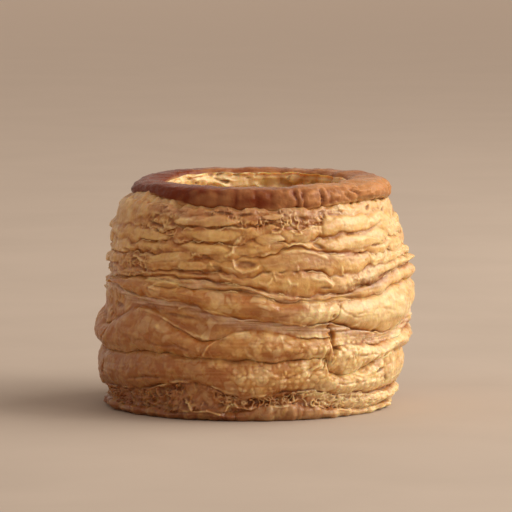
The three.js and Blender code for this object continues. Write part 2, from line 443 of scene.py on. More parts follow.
lower_wall = stack_wall("lower_layers", 0, 2)
middle_wall = stack_wall("middle_layers", 3, 5)
upper_wall = stack_wall("upper_layers", 6, TOP_LAYER)

# %% [markdown]
# ## Rolls, hollows, threads and creases
# In the upper half the layers broke into short rolls like little sausages, with hollows where the inside
# shows, and here and there a thread or a lip of torn dough bridges a crease. All are listed where they
# show most: a roll or a hollow by its place, length, thickness, height or depth and slant, and a thread by
# its height, its width and the few points that it passes. A crease is a thread pressed in. More rolls,
# hollows and creases follow round the back by a seeded draw.

# %% Rolls and hollows
ROLL_LIFT = 1.2
MOAT_DEPTH = 0.25
MOAT_AT = 1.12
MOAT_WIDTH = 0.16
rng = np.random.default_rng(5)


def spot(at, height, length, thickness, strength, slant=0.0):
    return at, height, length, thickness, strength, slant


ROLLS = [
    spot(-18, 52, 15, 3.4, 1.0, -0.02), spot(-22, 48.2, 17, 2.9, 0.9, -0.02),
    spot(-22, 55.7, 18, 2.8, 0.7, -0.01), spot(46, 49.8, 25, 4.6, 1.2, 0.05),
    spot(41, 54.6, 19, 5, 0.9, 0.04), spot(61, 55, 15, 5.4, 0.8, 0.06), spot(16, 45, 21, 5.8, 0.5),
    spot(5, 51.2, 9, 2.4, 0.6), spot(-48, 51.4, 15, 3.4, 0.6, -0.05), spot(-38, 38.4, 15, 3.4, 0.6),
    spot(26, 39, 9, 2.4, 0.7, -0.05), spot(32.5, 55, 3, 5, 0.6), spot(-66, 47.3, 12, 4, 0.7, 0.05),
    spot(-78, 56, 24, 8, 0.9, -0.05), spot(-76, 43.5, 14, 3.4, 0.6), spot(-36, 45.4, 12, 2.4, 0.5, 0.03),
    spot(-27, 43.2, 11, 2.4, 0.6, 0.03), spot(6, 57.2, 6, 1.6, 0.4), spot(72, 47.5, 14, 3.4, 0.6, 0.06),
    spot(-2, 48.3, 8, 2, 0.5), spot(13, 52.6, 5, 2.2, 0.5, 0.1),
]
HOLLOWS = [
    spot(-14.5, 58.2, 6.5, 1.1, 1.1, -0.08), spot(-5, 57.8, 5, 1, 1.1, 0.12),
    spot(-46, 54.4, 9, 1, 1.0, -0.16), spot(-44, 49.6, 9, 1.2, 0.6, -0.04),
    spot(24.5, 49, 4, 1.5, 1.0, -0.3), spot(53, 48.3, 4.5, 1, 0.8, 0.03), spot(28, 58, 4, 1.3, 0.7, 0.3),
    spot(55.5, 58.4, 2.6, 1.3, 1.0, 0.3), spot(68, 57, 3, 2, 1.0, 0.4),
    spot(-4.6, 44.2, 7, 2.5, 1.4, -0.02), spot(-15.5, 43.2, 3.6, 2.4, 0.9, -0.2),
    spot(8, 53.7, 3, 1, 0.9), spot(15.5, 53.4, 2.4, 0.9, 0.8), spot(45, 37.7, 13, 1.6, 1.0, 0.08),
    spot(59, 40, 10, 0.9, 0.8, 0.15), spot(26, 37.5, 4.8, 0.6, 0.8), spot(-33, 8.6, 7, 1.7, 0.8, 0.1),
    spot(-48, 2.6, 2.6, 1.1, 0.7), spot(-33, 3.2, 2.4, 1.2, 0.7), spot(57, 12.6, 4, 1.1, 0.9, 0.2),
    spot(62, 10, 3, 0.9, 0.7, -0.5), spot(-60, 46.4, 7, 1, 0.6, -0.08),
    spot(-30, 29.4, 12, 1.1, 0.5, -0.1), spot(-22, 41.4, 6, 0.9, 0.7), spot(19, 56.6, 3, 1.2, 0.7, -0.4),
    spot(4, 55.4, 3.4, 0.9, 0.7), spot(-66, 30.5, 6, 1.6, 0.8, -0.1),
]
for at in np.arange(88, 276, 11.0):
    ROLLS.append(spot(at + rng.uniform(-7, 7), rng.uniform(40, 57), rng.uniform(9, 22), rng.uniform(2.4, 4.8),
                      rng.uniform(0.5, 1.1), rng.uniform(-0.06, 0.06)))
for at in np.arange(84, 278, 7.0):
    HOLLOWS.append(spot(at + rng.uniform(-5, 5), rng.choice([5, 43, 49, 54, 57]) + rng.uniform(-2, 2),
                        rng.uniform(3, 9), rng.uniform(0.9, 1.7), rng.uniform(0.6, 1.1),
                        rng.uniform(-0.2, 0.2)))


def spot_distance(angle, height, at, middle, length, thickness, slant):
    """0 in the middle of a roll or hollow and 1 on its edge."""
    along = np.radians(apart(angle, at)) * WIDEST_RADIUS
    up = height - middle - slant * along
    return np.hypot(along / (length / 2), up / (thickness / 2))


def roll_relief(angle, height):
    """How far the rolls stand out, in mm, and how much of the surface is the smooth skin of a roll."""
    total = np.zeros_like(angle)
    cover = np.zeros_like(angle)
    for at, middle, length, thickness, lift, slant in ROLLS:
        far = spot_distance(angle, height, at, middle, length, thickness, slant)
        dome = np.clip(1 - far**2, 0, 1) ** 0.6
        total += ROLL_LIFT * lift * dome - MOAT_DEPTH * lift * ridge(far - MOAT_AT, MOAT_WIDTH)
        cover = np.maximum(cover, smooth(1.1, 0.8, far))
    return total, cover


def hollow_relief(angle, height):
    """How deep the hollows are, in mm, and how dark they are painted as shade."""
    total = np.zeros_like(angle)
    dark = np.zeros_like(angle)
    for at, middle, length, thickness, depth, slant in HOLLOWS:
        far = spot_distance(angle, height, at, middle, length, thickness, slant)
        total += depth * smooth(1.25, 0.45, far)
        dark = np.maximum(dark, min(depth, 1) * smooth(1.1, 0.5, far))
    return total, dark


# %% Threads
def thread(lift, width, *points):
    return lift, width, points


THREADS = [
    thread(0.7, 0.32, (-50, 30.8), (-42, 30.2), (-36, 28.6), (-30, 26.4), (-24, 24.6), (-17, 23.6)),
    thread(0.4, 0.36, (-10, 24.2), (-14, 23.2), (-16.5, 21.5), (-18, 19.2), (-19.5, 17.6)),
    thread(0.2, 0.3, (-16, 19.8), (-14.5, 17), (-12.5, 15.2)),
    thread(0.6, 0.3, (-9.2, 45.4), (-8.2, 43.4), (-5.6, 42.1), (-2.6, 42.4), (0.2, 43.4)),
    thread(0.5, 0.3, (-18.2, 44.8), (-16.8, 43), (-14, 41.6), (-13, 40.6), (-10, 40)),
    thread(0.1, 0.34, (1.5, 23.8), (0, 21), (1, 18.4)),
    thread(0.1, 0.34, (1.5, 23.8), (5, 21.5), (8, 17.8)),
    thread(0.12, 0.34, (9.5, 24.6), (10.6, 21.5), (9.8, 19), (8, 17.8)),
    thread(0.15, 0.5, (-3.4, 15.3), (-2.6, 13), (-3, 11.2)),
    thread(0.15, 0.5, (-0.6, 15.6), (-0.4, 13), (-1.4, 10.4), (-2, 8.4)),
    thread(0.5, 0.9, (23.4, 32.6), (21.8, 30.5), (22.4, 28)),
    thread(0.4, 0.7, (26.8, 32), (26, 29.5), (27, 28)),
    thread(0.7, 0.4, (25.8, 21), (26.4, 18), (25, 15.8), (22.5, 14.8)),
    thread(0.7, 0.3, (6.2, 41.4), (7, 40.2), (9.6, 39.8), (11.2, 39.9), (12.4, 38.8), (14.8, 38.7)),
    thread(0.6, 0.3, (0.8, 39.2), (3.4, 38.6), (5, 39.6), (5.6, 40.6)),
    thread(0.8, 0.32, (20.5, 40.4), (23, 39.8), (25.5, 40), (28, 38.6), (29, 37.8)),
    thread(0.6, 0.32, (33.6, 42.8), (33.8, 41), (36, 40.2)),
    thread(0.4, 0.3, (17, 41.3), (15.6, 42.4), (15.2, 43.4)),
    thread(0.5, 0.4, (2, 46.8), (6, 47.5), (10, 47.9), (18, 47.9), (23, 47.1), (27, 45.8)),
    thread(0.6, 0.28, (1, 56.8), (2.4, 54.8), (3.6, 56.4), (5, 55.2)),
    thread(0.7, 0.3, (9.6, 56.6), (10.4, 54.4), (8.4, 53), (6, 53)),
    thread(0.6, 0.28, (14.4, 55), (16.5, 54.2), (17.4, 52.6), (15, 52.4)),
    thread(0.9, 0.32, (-25.6, 5.4), (-24, 4.6), (-22.4, 3.2)),
    thread(0.8, 0.34, (-9, 3), (-8, 4.4), (-5.4, 4.9), (-4.4, 4.2)),
    thread(0.6, 0.34, (-30, 2.4), (-25, 2.7), (-20, 2.6), (-16, 2.9), (-11, 1.9)),
    thread(0.5, 0.28, (-31, 31.4), (-27, 32.4), (-22, 31.7), (-16, 31.2), (-10, 29.8), (-5, 28.4)),
    thread(0.6, 0.6, (-5, 37.1), (2, 36.4), (8, 35.7), (15, 35.3)),
    thread(0.5, 0.4, (-32, 38.4), (-36, 39), (-40, 38.3), (-42.5, 37)),
    thread(0.8, 0.4, (-12, 46.4), (-9.6, 47.6), (-9, 49.6), (-7.4, 51)),
    thread(0.6, 0.34, (-11, 49.4), (-8.6, 49), (-6.4, 51.6)),
    thread(0.5, 0.3, (40, 26.4), (36, 25.4), (31.5, 25.6)),
]

# %% Creases
CREASES = [
    thread(0.6, 0.5, (-69, 24.8), (-70.5, 22.2), (-73.5, 19.2)),
    thread(0.6, 0.5, (-73, 14.2), (-75, 10.4)),
    thread(0.55, 0.45, (-50, 11.2), (-40, 12.2), (-34, 12), (-30, 11.5), (-23, 12)),
    thread(0.5, 0.45, (-60, 28), (-53, 30.4), (-46, 31.8)),
    thread(0.6, 0.5, (-70, 36.2), (-60, 34.8), (-52, 33.4), (-45, 32), (-38, 30.8)),
    thread(0.5, 0.4, (-52, 39.6), (-40, 39.4), (-30, 38.7), (-18, 38.6), (-9, 38.2)),
    thread(0.45, 0.4, (-20, 36.3), (-8, 36), (0, 35), (10, 34), (20, 33.6), (30, 33.6), (38, 34.2)),
    thread(0.5, 0.4, (36, 33.2), (41, 34.3), (48, 34.3), (56, 34.8), (64, 36.4)),
    thread(0.45, 0.45, (52, 15.6), (57, 13), (60, 11.4), (63, 9)),
    thread(0.4, 0.4, (12, 12.2), (18, 13.4), (22, 15)),
    thread(0.35, 0.4, (34, 10.4), (40, 9.6), (50, 10), (58, 9.2)),
    thread(0.35, 0.4, (36, 16.6), (42, 18), (50, 17.4)),
    thread(0.4, 0.45, (31, 33), (33, 31), (38, 29), (46, 28.6)),
    thread(0.4, 0.45, (-48, 22), (-38, 21), (-30, 21.6), (-24, 20.6)),
    thread(0.35, 0.4, (-44, 36.4), (-34, 36.2), (-24, 36.8)),
    thread(0.4, 0.4, (2, 31), (8, 29.8), (14, 30.6)),
    thread(0.4, 0.45, (40, 30), (50, 31), (60, 30)),
    thread(0.45, 0.4, (-64, 43.6), (-52, 42.2), (-42, 41.4), (-32, 42.4), (-22, 40.8)),
    thread(0.5, 0.4, (30, 51.3), (36, 52.2), (45, 51.4), (52, 52.6), (60, 54.6)),
    thread(0.4, 0.4, (29, 48), (34, 46.8), (40, 46.2), (48, 46.6)),
]
for at in np.arange(86, 274, 8.0):
    height = rng.choice([11, 14, 20, 22, 31, 33, 45, 52]) + rng.uniform(-2, 2)
    bends = rng.uniform(-1.5, 1.5, 3)
    points = [(at + step, height + bend) for step, bend in zip((-8, 0, 8), bends)]
    CREASES.append(thread(rng.uniform(0.3, 0.6), 0.45, *points))


def line_relief(lines, angle, height):
    """Relief in mm of a list of lines: each line's lift on the line, falling to 0 beside it."""
    across = np.radians(angle) * WIDEST_RADIUS
    relief = np.zeros_like(angle)
    for lift, width, points in lines:
        closest = np.full_like(angle, 99.0)
        for (start_angle, start_height), (end_angle, end_height) in zip(points, points[1:]):
            start = np.array((math.radians(start_angle) * WIDEST_RADIUS, start_height))
            step = np.array((math.radians(end_angle) * WIDEST_RADIUS, end_height)) - start
            share = ((across - start[0]) * step[0] + (height - start[1]) * step[1]) / (step @ step)
            share = np.clip(share, 0, 1)
            away = np.hypot(across - start[0] - share * step[0], height - start[1] - share * step[1])
            closest = np.minimum(closest, away)
        relief = np.maximum(relief, lift * ridge(closest, width))
    return relief


# %% [markdown]
# ## The tear
# At the tear the wall has split from one layer to the next in a zigzag, with a small hole at its widest.
# Its route is a few points by height, and its width and depth swell round the hole.

# %% Tear
TEAR_HEIGHTS = [13.5, 15.5, 18, 20, 22, 25.2, 26.3, 29.5, 33]
TEAR_ANGLES = [25.5, 27.5, 30, 31.6, 30.2, 30.2, 27.8, 30, 31.5]
TEAR_DEPTH = 1.5
HOLE_HEIGHT = 20
HOLE_SPREAD = 1.3


def tear_closeness(angle, height):
    """1 in the tear and more in its hole, falling to 0 beside it."""
    middle = np.interp(height, TEAR_HEIGHTS, TEAR_ANGLES)
    across = np.radians(angle - middle) * WIDEST_RADIUS
    hole = ridge(height - HOLE_HEIGHT, HOLE_SPREAD)
    slot = smooth(18.5, 20, height) * smooth(26.2, 25, height)
    ends = smooth(TEAR_HEIGHTS[0], TEAR_HEIGHTS[0] + 2, height) * smooth(34, 31, height)
    width = 0.35 + 0.2 * slot + 0.5 * hole
    depth = 0.5 + 0.5 * slot + 0.4 * hole
    return np.exp(-np.abs(across / width) ** 2.5) * ends * depth


# %% [markdown]
# ## From the plain stack to the risen wall
# Now each vertex of a plain stack moves to its place on the risen wall. The big form comes first: the puff
# of each layer, the creases between, and the thin lip where an edge stands out. Dough is soft, so the
# creases are round valleys and only a few are deep.

# %% Form of the layers
CREASE_DEPTH = 1.8
STEP_HEIGHT = 0.75
LIP_HEIGHT = 0.35
LIP_SET_BACK = 0.35
LIP_WIDTH = 0.25
FOOT_UNDERCUT = 1.5


def own_values(key, extra, angle, layer):
    """A value of each vertex's layer with that layer's swells added."""
    found = layer_values(key)[layer]
    for number, values in enumerate(LAYERS):
        here = layer == number
        found[here] += swell_sum(values[extra], angle[here])
    return found


def nearest_seam(layer, from_below, from_above):
    """Number of the nearer seam of each vertex's layer, and the distance to it."""
    return layer + (from_below > from_above), np.minimum(from_below, from_above)


def crease_valley(angle, layer, from_below, from_above):
    """Depth in mm of the crease beside each vertex: deep in some places and nearly closed in others."""
    seam, from_seam = nearest_seam(layer, from_below, from_above)
    depth = CREASE_DEPTH * layer_values("crease")[layer] * seam_opening(angle, seam)
    depth = np.where(seam == len(LAYERS), 0, depth)
    valley = depth * (0.6 * np.exp(-from_seam / 1.6) + 0.25 * ridge(from_seam, 0.7))
    undercut = FOOT_UNDERCUT * (0.6 + 0.4 * ring_noise(angle, 12, 60)) * np.exp(-from_below / 0.7)
    return np.where(seam == 0, undercut, valley)


def thin_lips(angle, layer, from_below, from_above):
    """1 on the thin lip of an edge that stands out over the next layer, and 0 elsewhere."""
    over, under = overhang(angle, layer), overhang(angle, layer + 1)
    lips = smooth(0.1, 0.6, -under) * ridge(from_above - LIP_SET_BACK, LIP_WIDTH)
    lips += smooth(0.1, 0.6, over) * ridge(from_below - LIP_SET_BACK, LIP_WIDTH)
    return lips * smooth(-0.6, 0.3, ring_noise(angle, 9, layer + 80))


def layer_form(angle, layer, from_below, from_above):
    """Relief in mm of the puffed layers, with a step at each seam where one edge stands out."""
    share = from_below / (from_below + from_above)
    puff = own_values("puff", "bulges", angle, layer) * (1 - np.abs(2 * share - 1) ** 2.1)
    over, under = overhang(angle, layer), overhang(angle, layer + 1)
    step = over * np.exp(-from_below / 1.2) - under * np.exp(-from_above / 1.2)
    return puff + STEP_HEIGHT * step


# %% [markdown]
# ## Skin and crumb
# Where the skin is whole it is smooth and buttery, with soft folds, blisters and low bumps like cobbles.
# Where it is torn it steps down in small overlapping flakes with holes between them. A saw-tooth of the
# height makes such steps, if the height is first bent by noise so that no two flakes run level.

# %% Skin
BUBBLE_PLACES = [
    swell(46, 44, 1), swell(6, 26, 0.6), swell(-40, 30, 0.3), swell(150, 60, 0.7), swell(-130, 50, 0.5),
]


def warp_of(at, size, seed):
    """A soft random shift for every point, to bend cells out of their even shapes."""
    return np.column_stack([lumps(at, size, 1, seed + number) for number in range(3)])


def flakes_in_relief(at, height, spacing, seed):
    """Overlapping flakes: a profile from about -0.4 to 0.6 that steps at each edge, and that edge."""
    wander = lumps(at, 12, 0.8, seed) + 0.45 * lumps(at, 4, 0.8, seed + 1)
    wander += 0.16 * lumps(at, 1.6, 0.8, seed + 2)
    saw = (height + 1.6 * wander) / spacing % 1
    lifts_up = smooth(-0.12, 0.12, lumps(at, 8, 1, seed + 3))
    from_edge = lerp(saw, 1 - saw, lifts_up)
    profile = 1.2 * (1 - from_edge) ** 1.4 * smooth(0, 0.2, from_edge) - 0.4
    return profile, ridge((from_edge - 0.16) * spacing, 0.25)


def skin_relief(at, angle, height):
    """Relief of whole skin in mm, its fine part, a soft broad field, how pale it is, and patches of painted
    highlight.
    """
    broad = lumps(at, 13, 1.8, 3)
    folds = lumps(at, 5.5, 1.6, 4)
    pillows = puckers(at, 6, 1.5, 19, 0.03, 0.35)
    wrinkles = lumps(at, 2.2, 0.35, 5) * smooth(0.1, 0.7, lumps(at, 9, 1, 6))
    warp = warp_of(at, 3.2, 31)
    near, border, chance = cells(at + 1.5 * warp, 4.6, 1.1, 9)
    reach = 0.25 + 0.5 * chance
    blister = smooth(reach, 0.3 * reach, near) * smooth(0.3, 0.6, chance * 10 % 1)
    painted_highlight_patches = smooth(0.05, 0.16, border) * smooth(0.5, 0.8, chance * 7 % 1) * smooth(42, 36, height)
    near, border, chance = cells(at + 0.6 * warp, 1.9, 1.1, 10)
    bubbled = 0.25 + swell_sum(BUBBLE_PLACES, angle) * smooth(5, 8, height) * smooth(30, 14, height)
    bubble = np.clip(1 - (near / (0.35 + 0.4 * chance)) ** 2, 0, 1) * np.clip(bubbled, 0, 1)
    sheet, sheet_edge = flakes_in_relief(at, height, 2.7, 100)
    sheeted = smooth(36, 42, height)
    fine = 0.3 * folds + 0.32 * pillows + 0.12 * wrinkles + 0.12 * blister + 0.42 * bubble
    fine += 0.15 * sheeted * sheet
    pale = 0.4 * blister + 0.2 * bubble + 0.32 * sheeted * sheet_edge
    return 0.4 * broad + fine, fine, broad, pale, painted_highlight_patches


# %% Crumb
def how_torn(at, angle, layer):
    """0 on whole skin and 1 in crumb."""
    rags = own_values("torn", "rags", angle, layer)
    return smooth(0.3, 0.75, rags + 0.3 * lumps(at, 9, 1.6, 2) + 0.15 * lumps(at, 3, 1.6, 18))


def curled_edges(at, size, stretch, seed):
    """1 on thin curly lines, like the edges of ruffled dough, and 0 between them."""
    return ridge(lumps(at, size, stretch, seed), 0.2)


def crumb_relief(at, height):
    """Relief of torn dough in mm, its pale edges and the pockets between them, where shade is painted."""
    flake, flake_edge = flakes_in_relief(at, height, 2.3, 60)
    bent = at + 0.5 * warp_of(at, 1.4, 71)
    curls = curled_edges(bent, 3.6, 1.7, 61) * smooth(-0.6, 0.5, lumps(at, 4, 1, 62))
    curls = np.maximum(curls, 0.7 * curled_edges(bent, 2.1, 1.4, 63))
    pockets = smooth(0.45, 0.1, curls) * smooth(-0.3, 0.5, lumps(at, 3, 1.5, 64))
    relief = 0.4 * flake + 0.8 * curls - 0.6 * pockets - 0.25
    return relief, np.maximum(0.6 * flake_edge, curls**2), pockets


# %% [markdown]
# ## One wall from all of these
# The relief is the sum of the form, the skin, the crumb and what was listed. The same fields that shape
# the dough say how it browned and where light and shade are painted on it, so they are kept as four marks
# on every vertex: toast and shade, pale, pink and dark. The low left and the back are browner and darker,
# partly from the bake and partly as painted shade on the side away from the light, and the right side is
# painted paler where the light falls. Creases, valleys, hollows, pits and the tear get painted shade and the
# fine bumps painted highlight, while thin edges and blisters stayed pale. A few soft patches are listed:
# patches of toast and painted shade, and patches of painted light. Once a wall has its shape, what lies under
# its surroundings gets more painted shade, and ridges a little painted highlight.

# %% Relief of a wall
SCALLOP_HEIGHT = 1.0
UPPER_CALM = 0.64
ROLL_BED = 0.3
# Browner and darker sides: partly the bake, partly painted shade on the side away from the light.
TOAST_AND_SHADE_SIDES = [swell(-66, 80, 1), swell(180, 90, 0.5)]
# The side where the light falls, painted paler, with less crumb relief and less painted shade.
LIT_SIDE_SWELLS = [swell(66, 66, 1)]
# Patches of toast and of painted shade, such as the painted shadow under the front of the rim.
TOAST_AND_SHADE_PATCHES = [
    spot(-50, 11, 44, 10, 0.4), spot(16, 45.2, 22, 5.4, 0.6), spot(-40, 21, 28, 9, 0.3),
    spot(-34, 13, 28, 7, 0.3), spot(-10, 13, 14, 6, 0.3), spot(-68, 39, 12, 8, 0.3),
    spot(8, 32, 26, 6, 0.35), spot(40, 46, 12, 3, 0.3), spot(4, 20, 30, 9, 0.15),
    spot(-8, 59, 64, 5.5, 0.9), spot(-19, 55.6, 20, 4.5, 0.45), spot(-12, 35, 22, 3.5, 0.4),
    spot(24, 55.8, 7, 4, 0.4),
]
# Patches of painted light where the skin is lit, which also take painted shade away.
PAINTED_LIGHT_PATCHES = [
    spot(54, 20.5, 40, 8, 0.33), spot(46, 8.6, 44, 5.5, 0.3), spot(46, 30, 46, 6, 0.42),
    spot(14, 30, 20, 4, 0.25), spot(13, 50.5, 16, 4, 0.3), spot(10, 24.6, 26, 4, 0.25),
]
SHADED_SEAM = 7
SEAM_SHADE = [swell(46, 26, 1)]


def patch_sum(patches, angle, height):
    """Strength of soft patches on the skin: patches of toast and painted shade, and patches of painted light.
    """
    total = np.zeros_like(angle)
    for at, middle, length, thickness, strength, slant in patches:
        far = spot_distance(angle, height, at, middle, length, thickness, slant)
        total += strength * smooth(1.2, 0.7, far)
    return total


def wall_relief(angle, height, layer, from_below, from_above):
    """Relief in mm, how far the surface sags, and four bake marks holding painted light and shade, for each
    wall point.
    """
    at = on_barrel(angle, body_radius(height), height)
    seam, from_seam = nearest_seam(layer, from_below, from_above)
    form = layer_form(angle, layer, from_below, from_above)
    valley = crease_valley(angle, layer, from_below, from_above)
    valley *= 1 - 0.9 * ridge(angle - TEAR_ANGLE, 2.5) * smooth(34, 26, height)
    crooked = lumps(at, 7, 1, 51)
    rolls, on_roll = roll_relief(angle + 3 * crooked, height + 0.3 * lumps(at, 4, 1, 52) + 0.5 * crooked)
    form = lerp(form, ROLL_BED, on_roll)
    valley *= 1 - on_roll
    lips = thin_lips(angle, layer, from_below, from_above) * (1 - on_roll)
    skin, fine, broad, skin_pale, painted_highlight_patches = skin_relief(at, angle, height)
    skin *= 1 - 0.5 * on_roll
    hollows, hollow_shade = hollow_relief(angle, height)
    threads = line_relief(THREADS, angle, height)
    wavy = 0.5 * lumps(at, 4, 1, 39)
    creases = line_relief(CREASES, angle + wavy, height + wavy) * smooth(-0.8, 0.2, lumps(at, 7, 1, 40))
    torn = how_torn(at, angle, layer) * (1 - on_roll)
    crumb, edges, pockets = crumb_relief(at, height)
    tear = tear_closeness(angle + 1.3 * lumps(at, 1.5, 1, 36), height)
    layered = lumps(at, 11, 20, 7)
    pink = layer_values("pink")[layer] * smooth(3.4, 1.4, from_above)
    is_foot = layer == 0
    scallops = np.where(is_foot, puckers(at, 3, 0.15, 35, 0.01, 0.35), 0)
    on_lit_side = swell_sum(LIT_SIDE_SWELLS, angle)

    detail = LIP_HEIGHT * lips + skin * (1 - 0.4 * torn) + torn * crumb * (1 - 0.5 * on_lit_side)
    detail += threads - creases
    detail += rolls - hollows - valley + layered * (0.06 + 0.3 * pink) + SCALLOP_HEIGHT * scallops
    calm = lerp(1, UPPER_CALM, smooth(18, 40, height))
    relief = form + calm * detail - TEAR_DEPTH * tear
    sag = 0.4 * smooth(0.2, 0.8, overhang(angle, layer)) * np.exp(-from_below / 0.8)

    # Browner and darker on the low left and at the back: partly the bake, partly painted shade away from the
    # light.
    toast_and_shade_side = swell_sum(TOAST_AND_SHADE_SIDES, angle) * smooth(47, 14, height)
    # Painted shade beside the seams.
    painted_seam_shade = np.exp(-from_seam / 2.1) * (1 - on_roll)
    painted_light_patch = patch_sum(PAINTED_LIGHT_PATCHES, angle, height)
    # Toast with painted shade in it: darker in valleys, beside seams, in creases and in the dips of the fine
    # relief, and paler on the fine bumps, the foot's puffs and the lit side as painted light.
    toast_and_shade = 0.36 + patch_sum(TOAST_AND_SHADE_PATCHES, angle, height) - 0.5 * scallops
    toast_and_shade += calm * (0.3 * broad - 0.5 * fine + 0.75 * valley + 0.42 * painted_seam_shade + 0.9 * creases)
    toast_and_shade += 1.0 * toast_and_shade_side - 0.3 * on_lit_side + 0.3 * torn + 0.9 * smooth(9, 3, height) * (1 - 0.95 * on_lit_side)
    edge = np.clip(lips + torn * edges + 1.2 * threads, 0, 1)
    # Pale with painted light in it: paler on the fine bumps, a little on the rolls, on the lit side and in
    # the patches of painted light, and less pale beside seams and in creases as painted shade.
    pale = calm * ((1 - torn) * skin_pale + 0.85 * edge + 0.35 * smooth(0.05, 0.6, fine)) + 0.06 * on_roll
    lit_side = (0.38 + 0.35 * torn + 0.4 * smooth(7, 3, height)) * on_lit_side
    pale += lit_side - 0.5 * toast_and_shade_side - 0.2 * painted_seam_shade + painted_light_patch
    pale = np.maximum(pale, 0) * (1 - 0.8 * smooth(0.25, 0.8, valley))
    # Patches of painted highlight on whole skin.
    pale += (1 - torn) * lerp(0.36, 0.1, toast_and_shade_side) * painted_highlight_patches
    # Painted shade: dark in the crumb's pockets, valleys, creases, hollows and the tear. The foot and the low
    # left are darker too, from the bake and painted shade together, less on the lit side.
    painted_pit_shade = torn * pockets * lerp(0.85, 0.55, smooth(20, 40, height)) * (1 - 0.8 * on_lit_side)
    dark = np.maximum(0.6 * smooth(0.5, 1.5, valley), painted_pit_shade)
    dark += 0.6 * creases + 0.8 * hollow_shade + (0.75 + 0.5 * toast_and_shade_side) * smooth(6, 2, height) * (1 - on_lit_side)
    dark = calm * dark * (1 - smooth(0.1, 0.4, threads)) * (1 - painted_light_patch) + 0.35 * tear
    dark += 0.62 * toast_and_shade_side * smooth(32, 8, height)
    at_shaded_seam = (seam == SHADED_SEAM) * swell_sum(SEAM_SHADE, angle)
    dark += 1.3 * at_shaded_seam * np.exp(-from_seam / 1.2) * (1 - on_roll)
    # The pink fades a little on the lit side, as painted light.
    marks = np.column_stack((toast_and_shade, pale, pink * (0.6 + 0.7 * layered) * (1 - 0.15 * on_lit_side), dark))
    return relief, sag, marks


# %% Raise the walls
FRONT_DENSITY = 0.4
CAP_OVERLAP = 1.2
WELL_UNDERSIDE = 11
SHOULDER_RISE = 0.9
SHOULDER_ROUNDING = 1.0
SHOULDER_SWELLS = [swell(-90, 70, 1.5), swell(180, 60, 0.6)]
UNDERSIDE_DIMPLES = 0.25
OUTERMOST = 1e-4
DEEPEST_HOLLOW = 0.35
HIGHEST_RIDGE = 0.25


def plain_angle(plain):
    """Angle of each vertex in degrees, with the columns drawn together towards the front."""
    around = np.arctan2(plain[:, 0], -plain[:, 1])
    return np.degrees(around - FRONT_DENSITY * np.sin(around))


def raise_wall(piece, first, last):
    """Moves a plain stack to its risen shape and keeps the bake marks on it."""
    plain = coords(piece)
    angle = plain_angle(plain)
    layer = np.clip(np.searchsorted(PLAIN_SEAMS, plain[:, 2] + TOLERANCE, side="right") - 1, first, last)
    share = np.clip((plain[:, 2] - PLAIN_SEAMS[layer]) / (PLAIN_SEAMS[layer + 1] - PLAIN_SEAMS[layer]), 0, 1)
    seams = seam_heights(angle)
    every = np.arange(len(angle))
    low, high = seams[layer, every], seams[layer + 1, every]
    height = lerp(low, high, share)

    core = 0 if first == 0 else CORE_RADIUS
    inset = PLAIN_RADIUS - np.hypot(plain[:, 0], plain[:, 1])
    inward = np.clip(inset / (PLAIN_RADIUS - core), 0, 1)
    at_top = plain[:, 2] > PLAIN_SEAMS[last + 1] - TOLERANCE
    at_bottom = plain[:, 2] < PLAIN_SEAMS[first] + TOLERANCE
    turned = inward > OUTERMOST
    is_top = turned & at_top
    is_bottom = turned & ~is_top
    unrolled = height + np.where(is_top, inset, 0)
    relief, sag, marks = wall_relief(angle, unrolled, layer, height - low, high - height)
    rounding = SHOULDER_ROUNDING * np.where(layer == TOP_LAYER, np.exp((height - high) / 1.3), 0)
    outside = body_radius(height) - rounding
    radius = lerp(outside + relief * (1 - smooth(0, 0.2, inward)), core, inward)
    turned_in = CAP_OVERLAP * smooth(0, 0.1, inward)
    raised = height - sag
    if last == TOP_LAYER:
        crags = 0.35 * lumps(on_barrel(angle, radius, height), 3, 1, 48) * smooth(0.02, 0.08, inward)
        rise = SHOULDER_RISE + swell_sum(SHOULDER_SWELLS, angle)
        raised += np.where(is_top, rise * smooth(0, 0.3, inward) + crags, 0)
    elif first == 0:
        raised += np.where(is_top, turned_in - (height - WELL_UNDERSIDE) * smooth(0.1, 0.3, inward), 0)
    else:
        raised += np.where(is_top, turned_in, 0)
    if first == 0:
        dimples = UNDERSIDE_DIMPLES * (1 + lumps(plain, 5, 1, 16)) * smooth(0.02, 0.12, inward)
        raised = np.where(is_bottom, dimples, raised)
    else:
        raised -= np.where(is_bottom, turned_in, 0)
    set_coords(piece, on_barrel(angle, radius, np.maximum(raised, 0)))
    hollow = np.clip(hollowness(piece), -HIGHEST_RIDGE, DEEPEST_HOLLOW)
    # Painted shade in what lies under its surroundings, and painted highlight on ridges.
    marks[:, 0] += 1.1 * hollow
    marks[:, 1] -= 0.7 * hollow
    marks[:, 3] += 1.1 * np.maximum(hollow - 0.1, 0)
    keep_bake(piece, marks)
    meets = (inward < OUTERMOST) & ((at_top & (last < TOP_LAYER)) | (at_bottom & (first > 0)))
    sharp = piece.data.attributes.new("sharp_edge", "BOOLEAN", "EDGE")
    sharp.data.foreach_set("value", meets[edge_ends(piece)].all(1))
    print(piece.name, "raised to", np.round(coords(piece).max(0), 1), "mm")


raise_wall(lower_wall, 0, 2)
raise_wall(middle_wall, 3, 5)
raise_wall(upper_wall, 6, TOP_LAYER)

# %% [markdown]
# ## The glazed rim
# The rim is the ring of dough that was cut through and washed with egg, so it browned and shines. A torus
# is nearly that ring. Each of its vertices keeps its angle round the case and its angle in the section, and
# moves to a flattened section with puckers down the outside, a split at the front right and a pinched tip
# at the left.

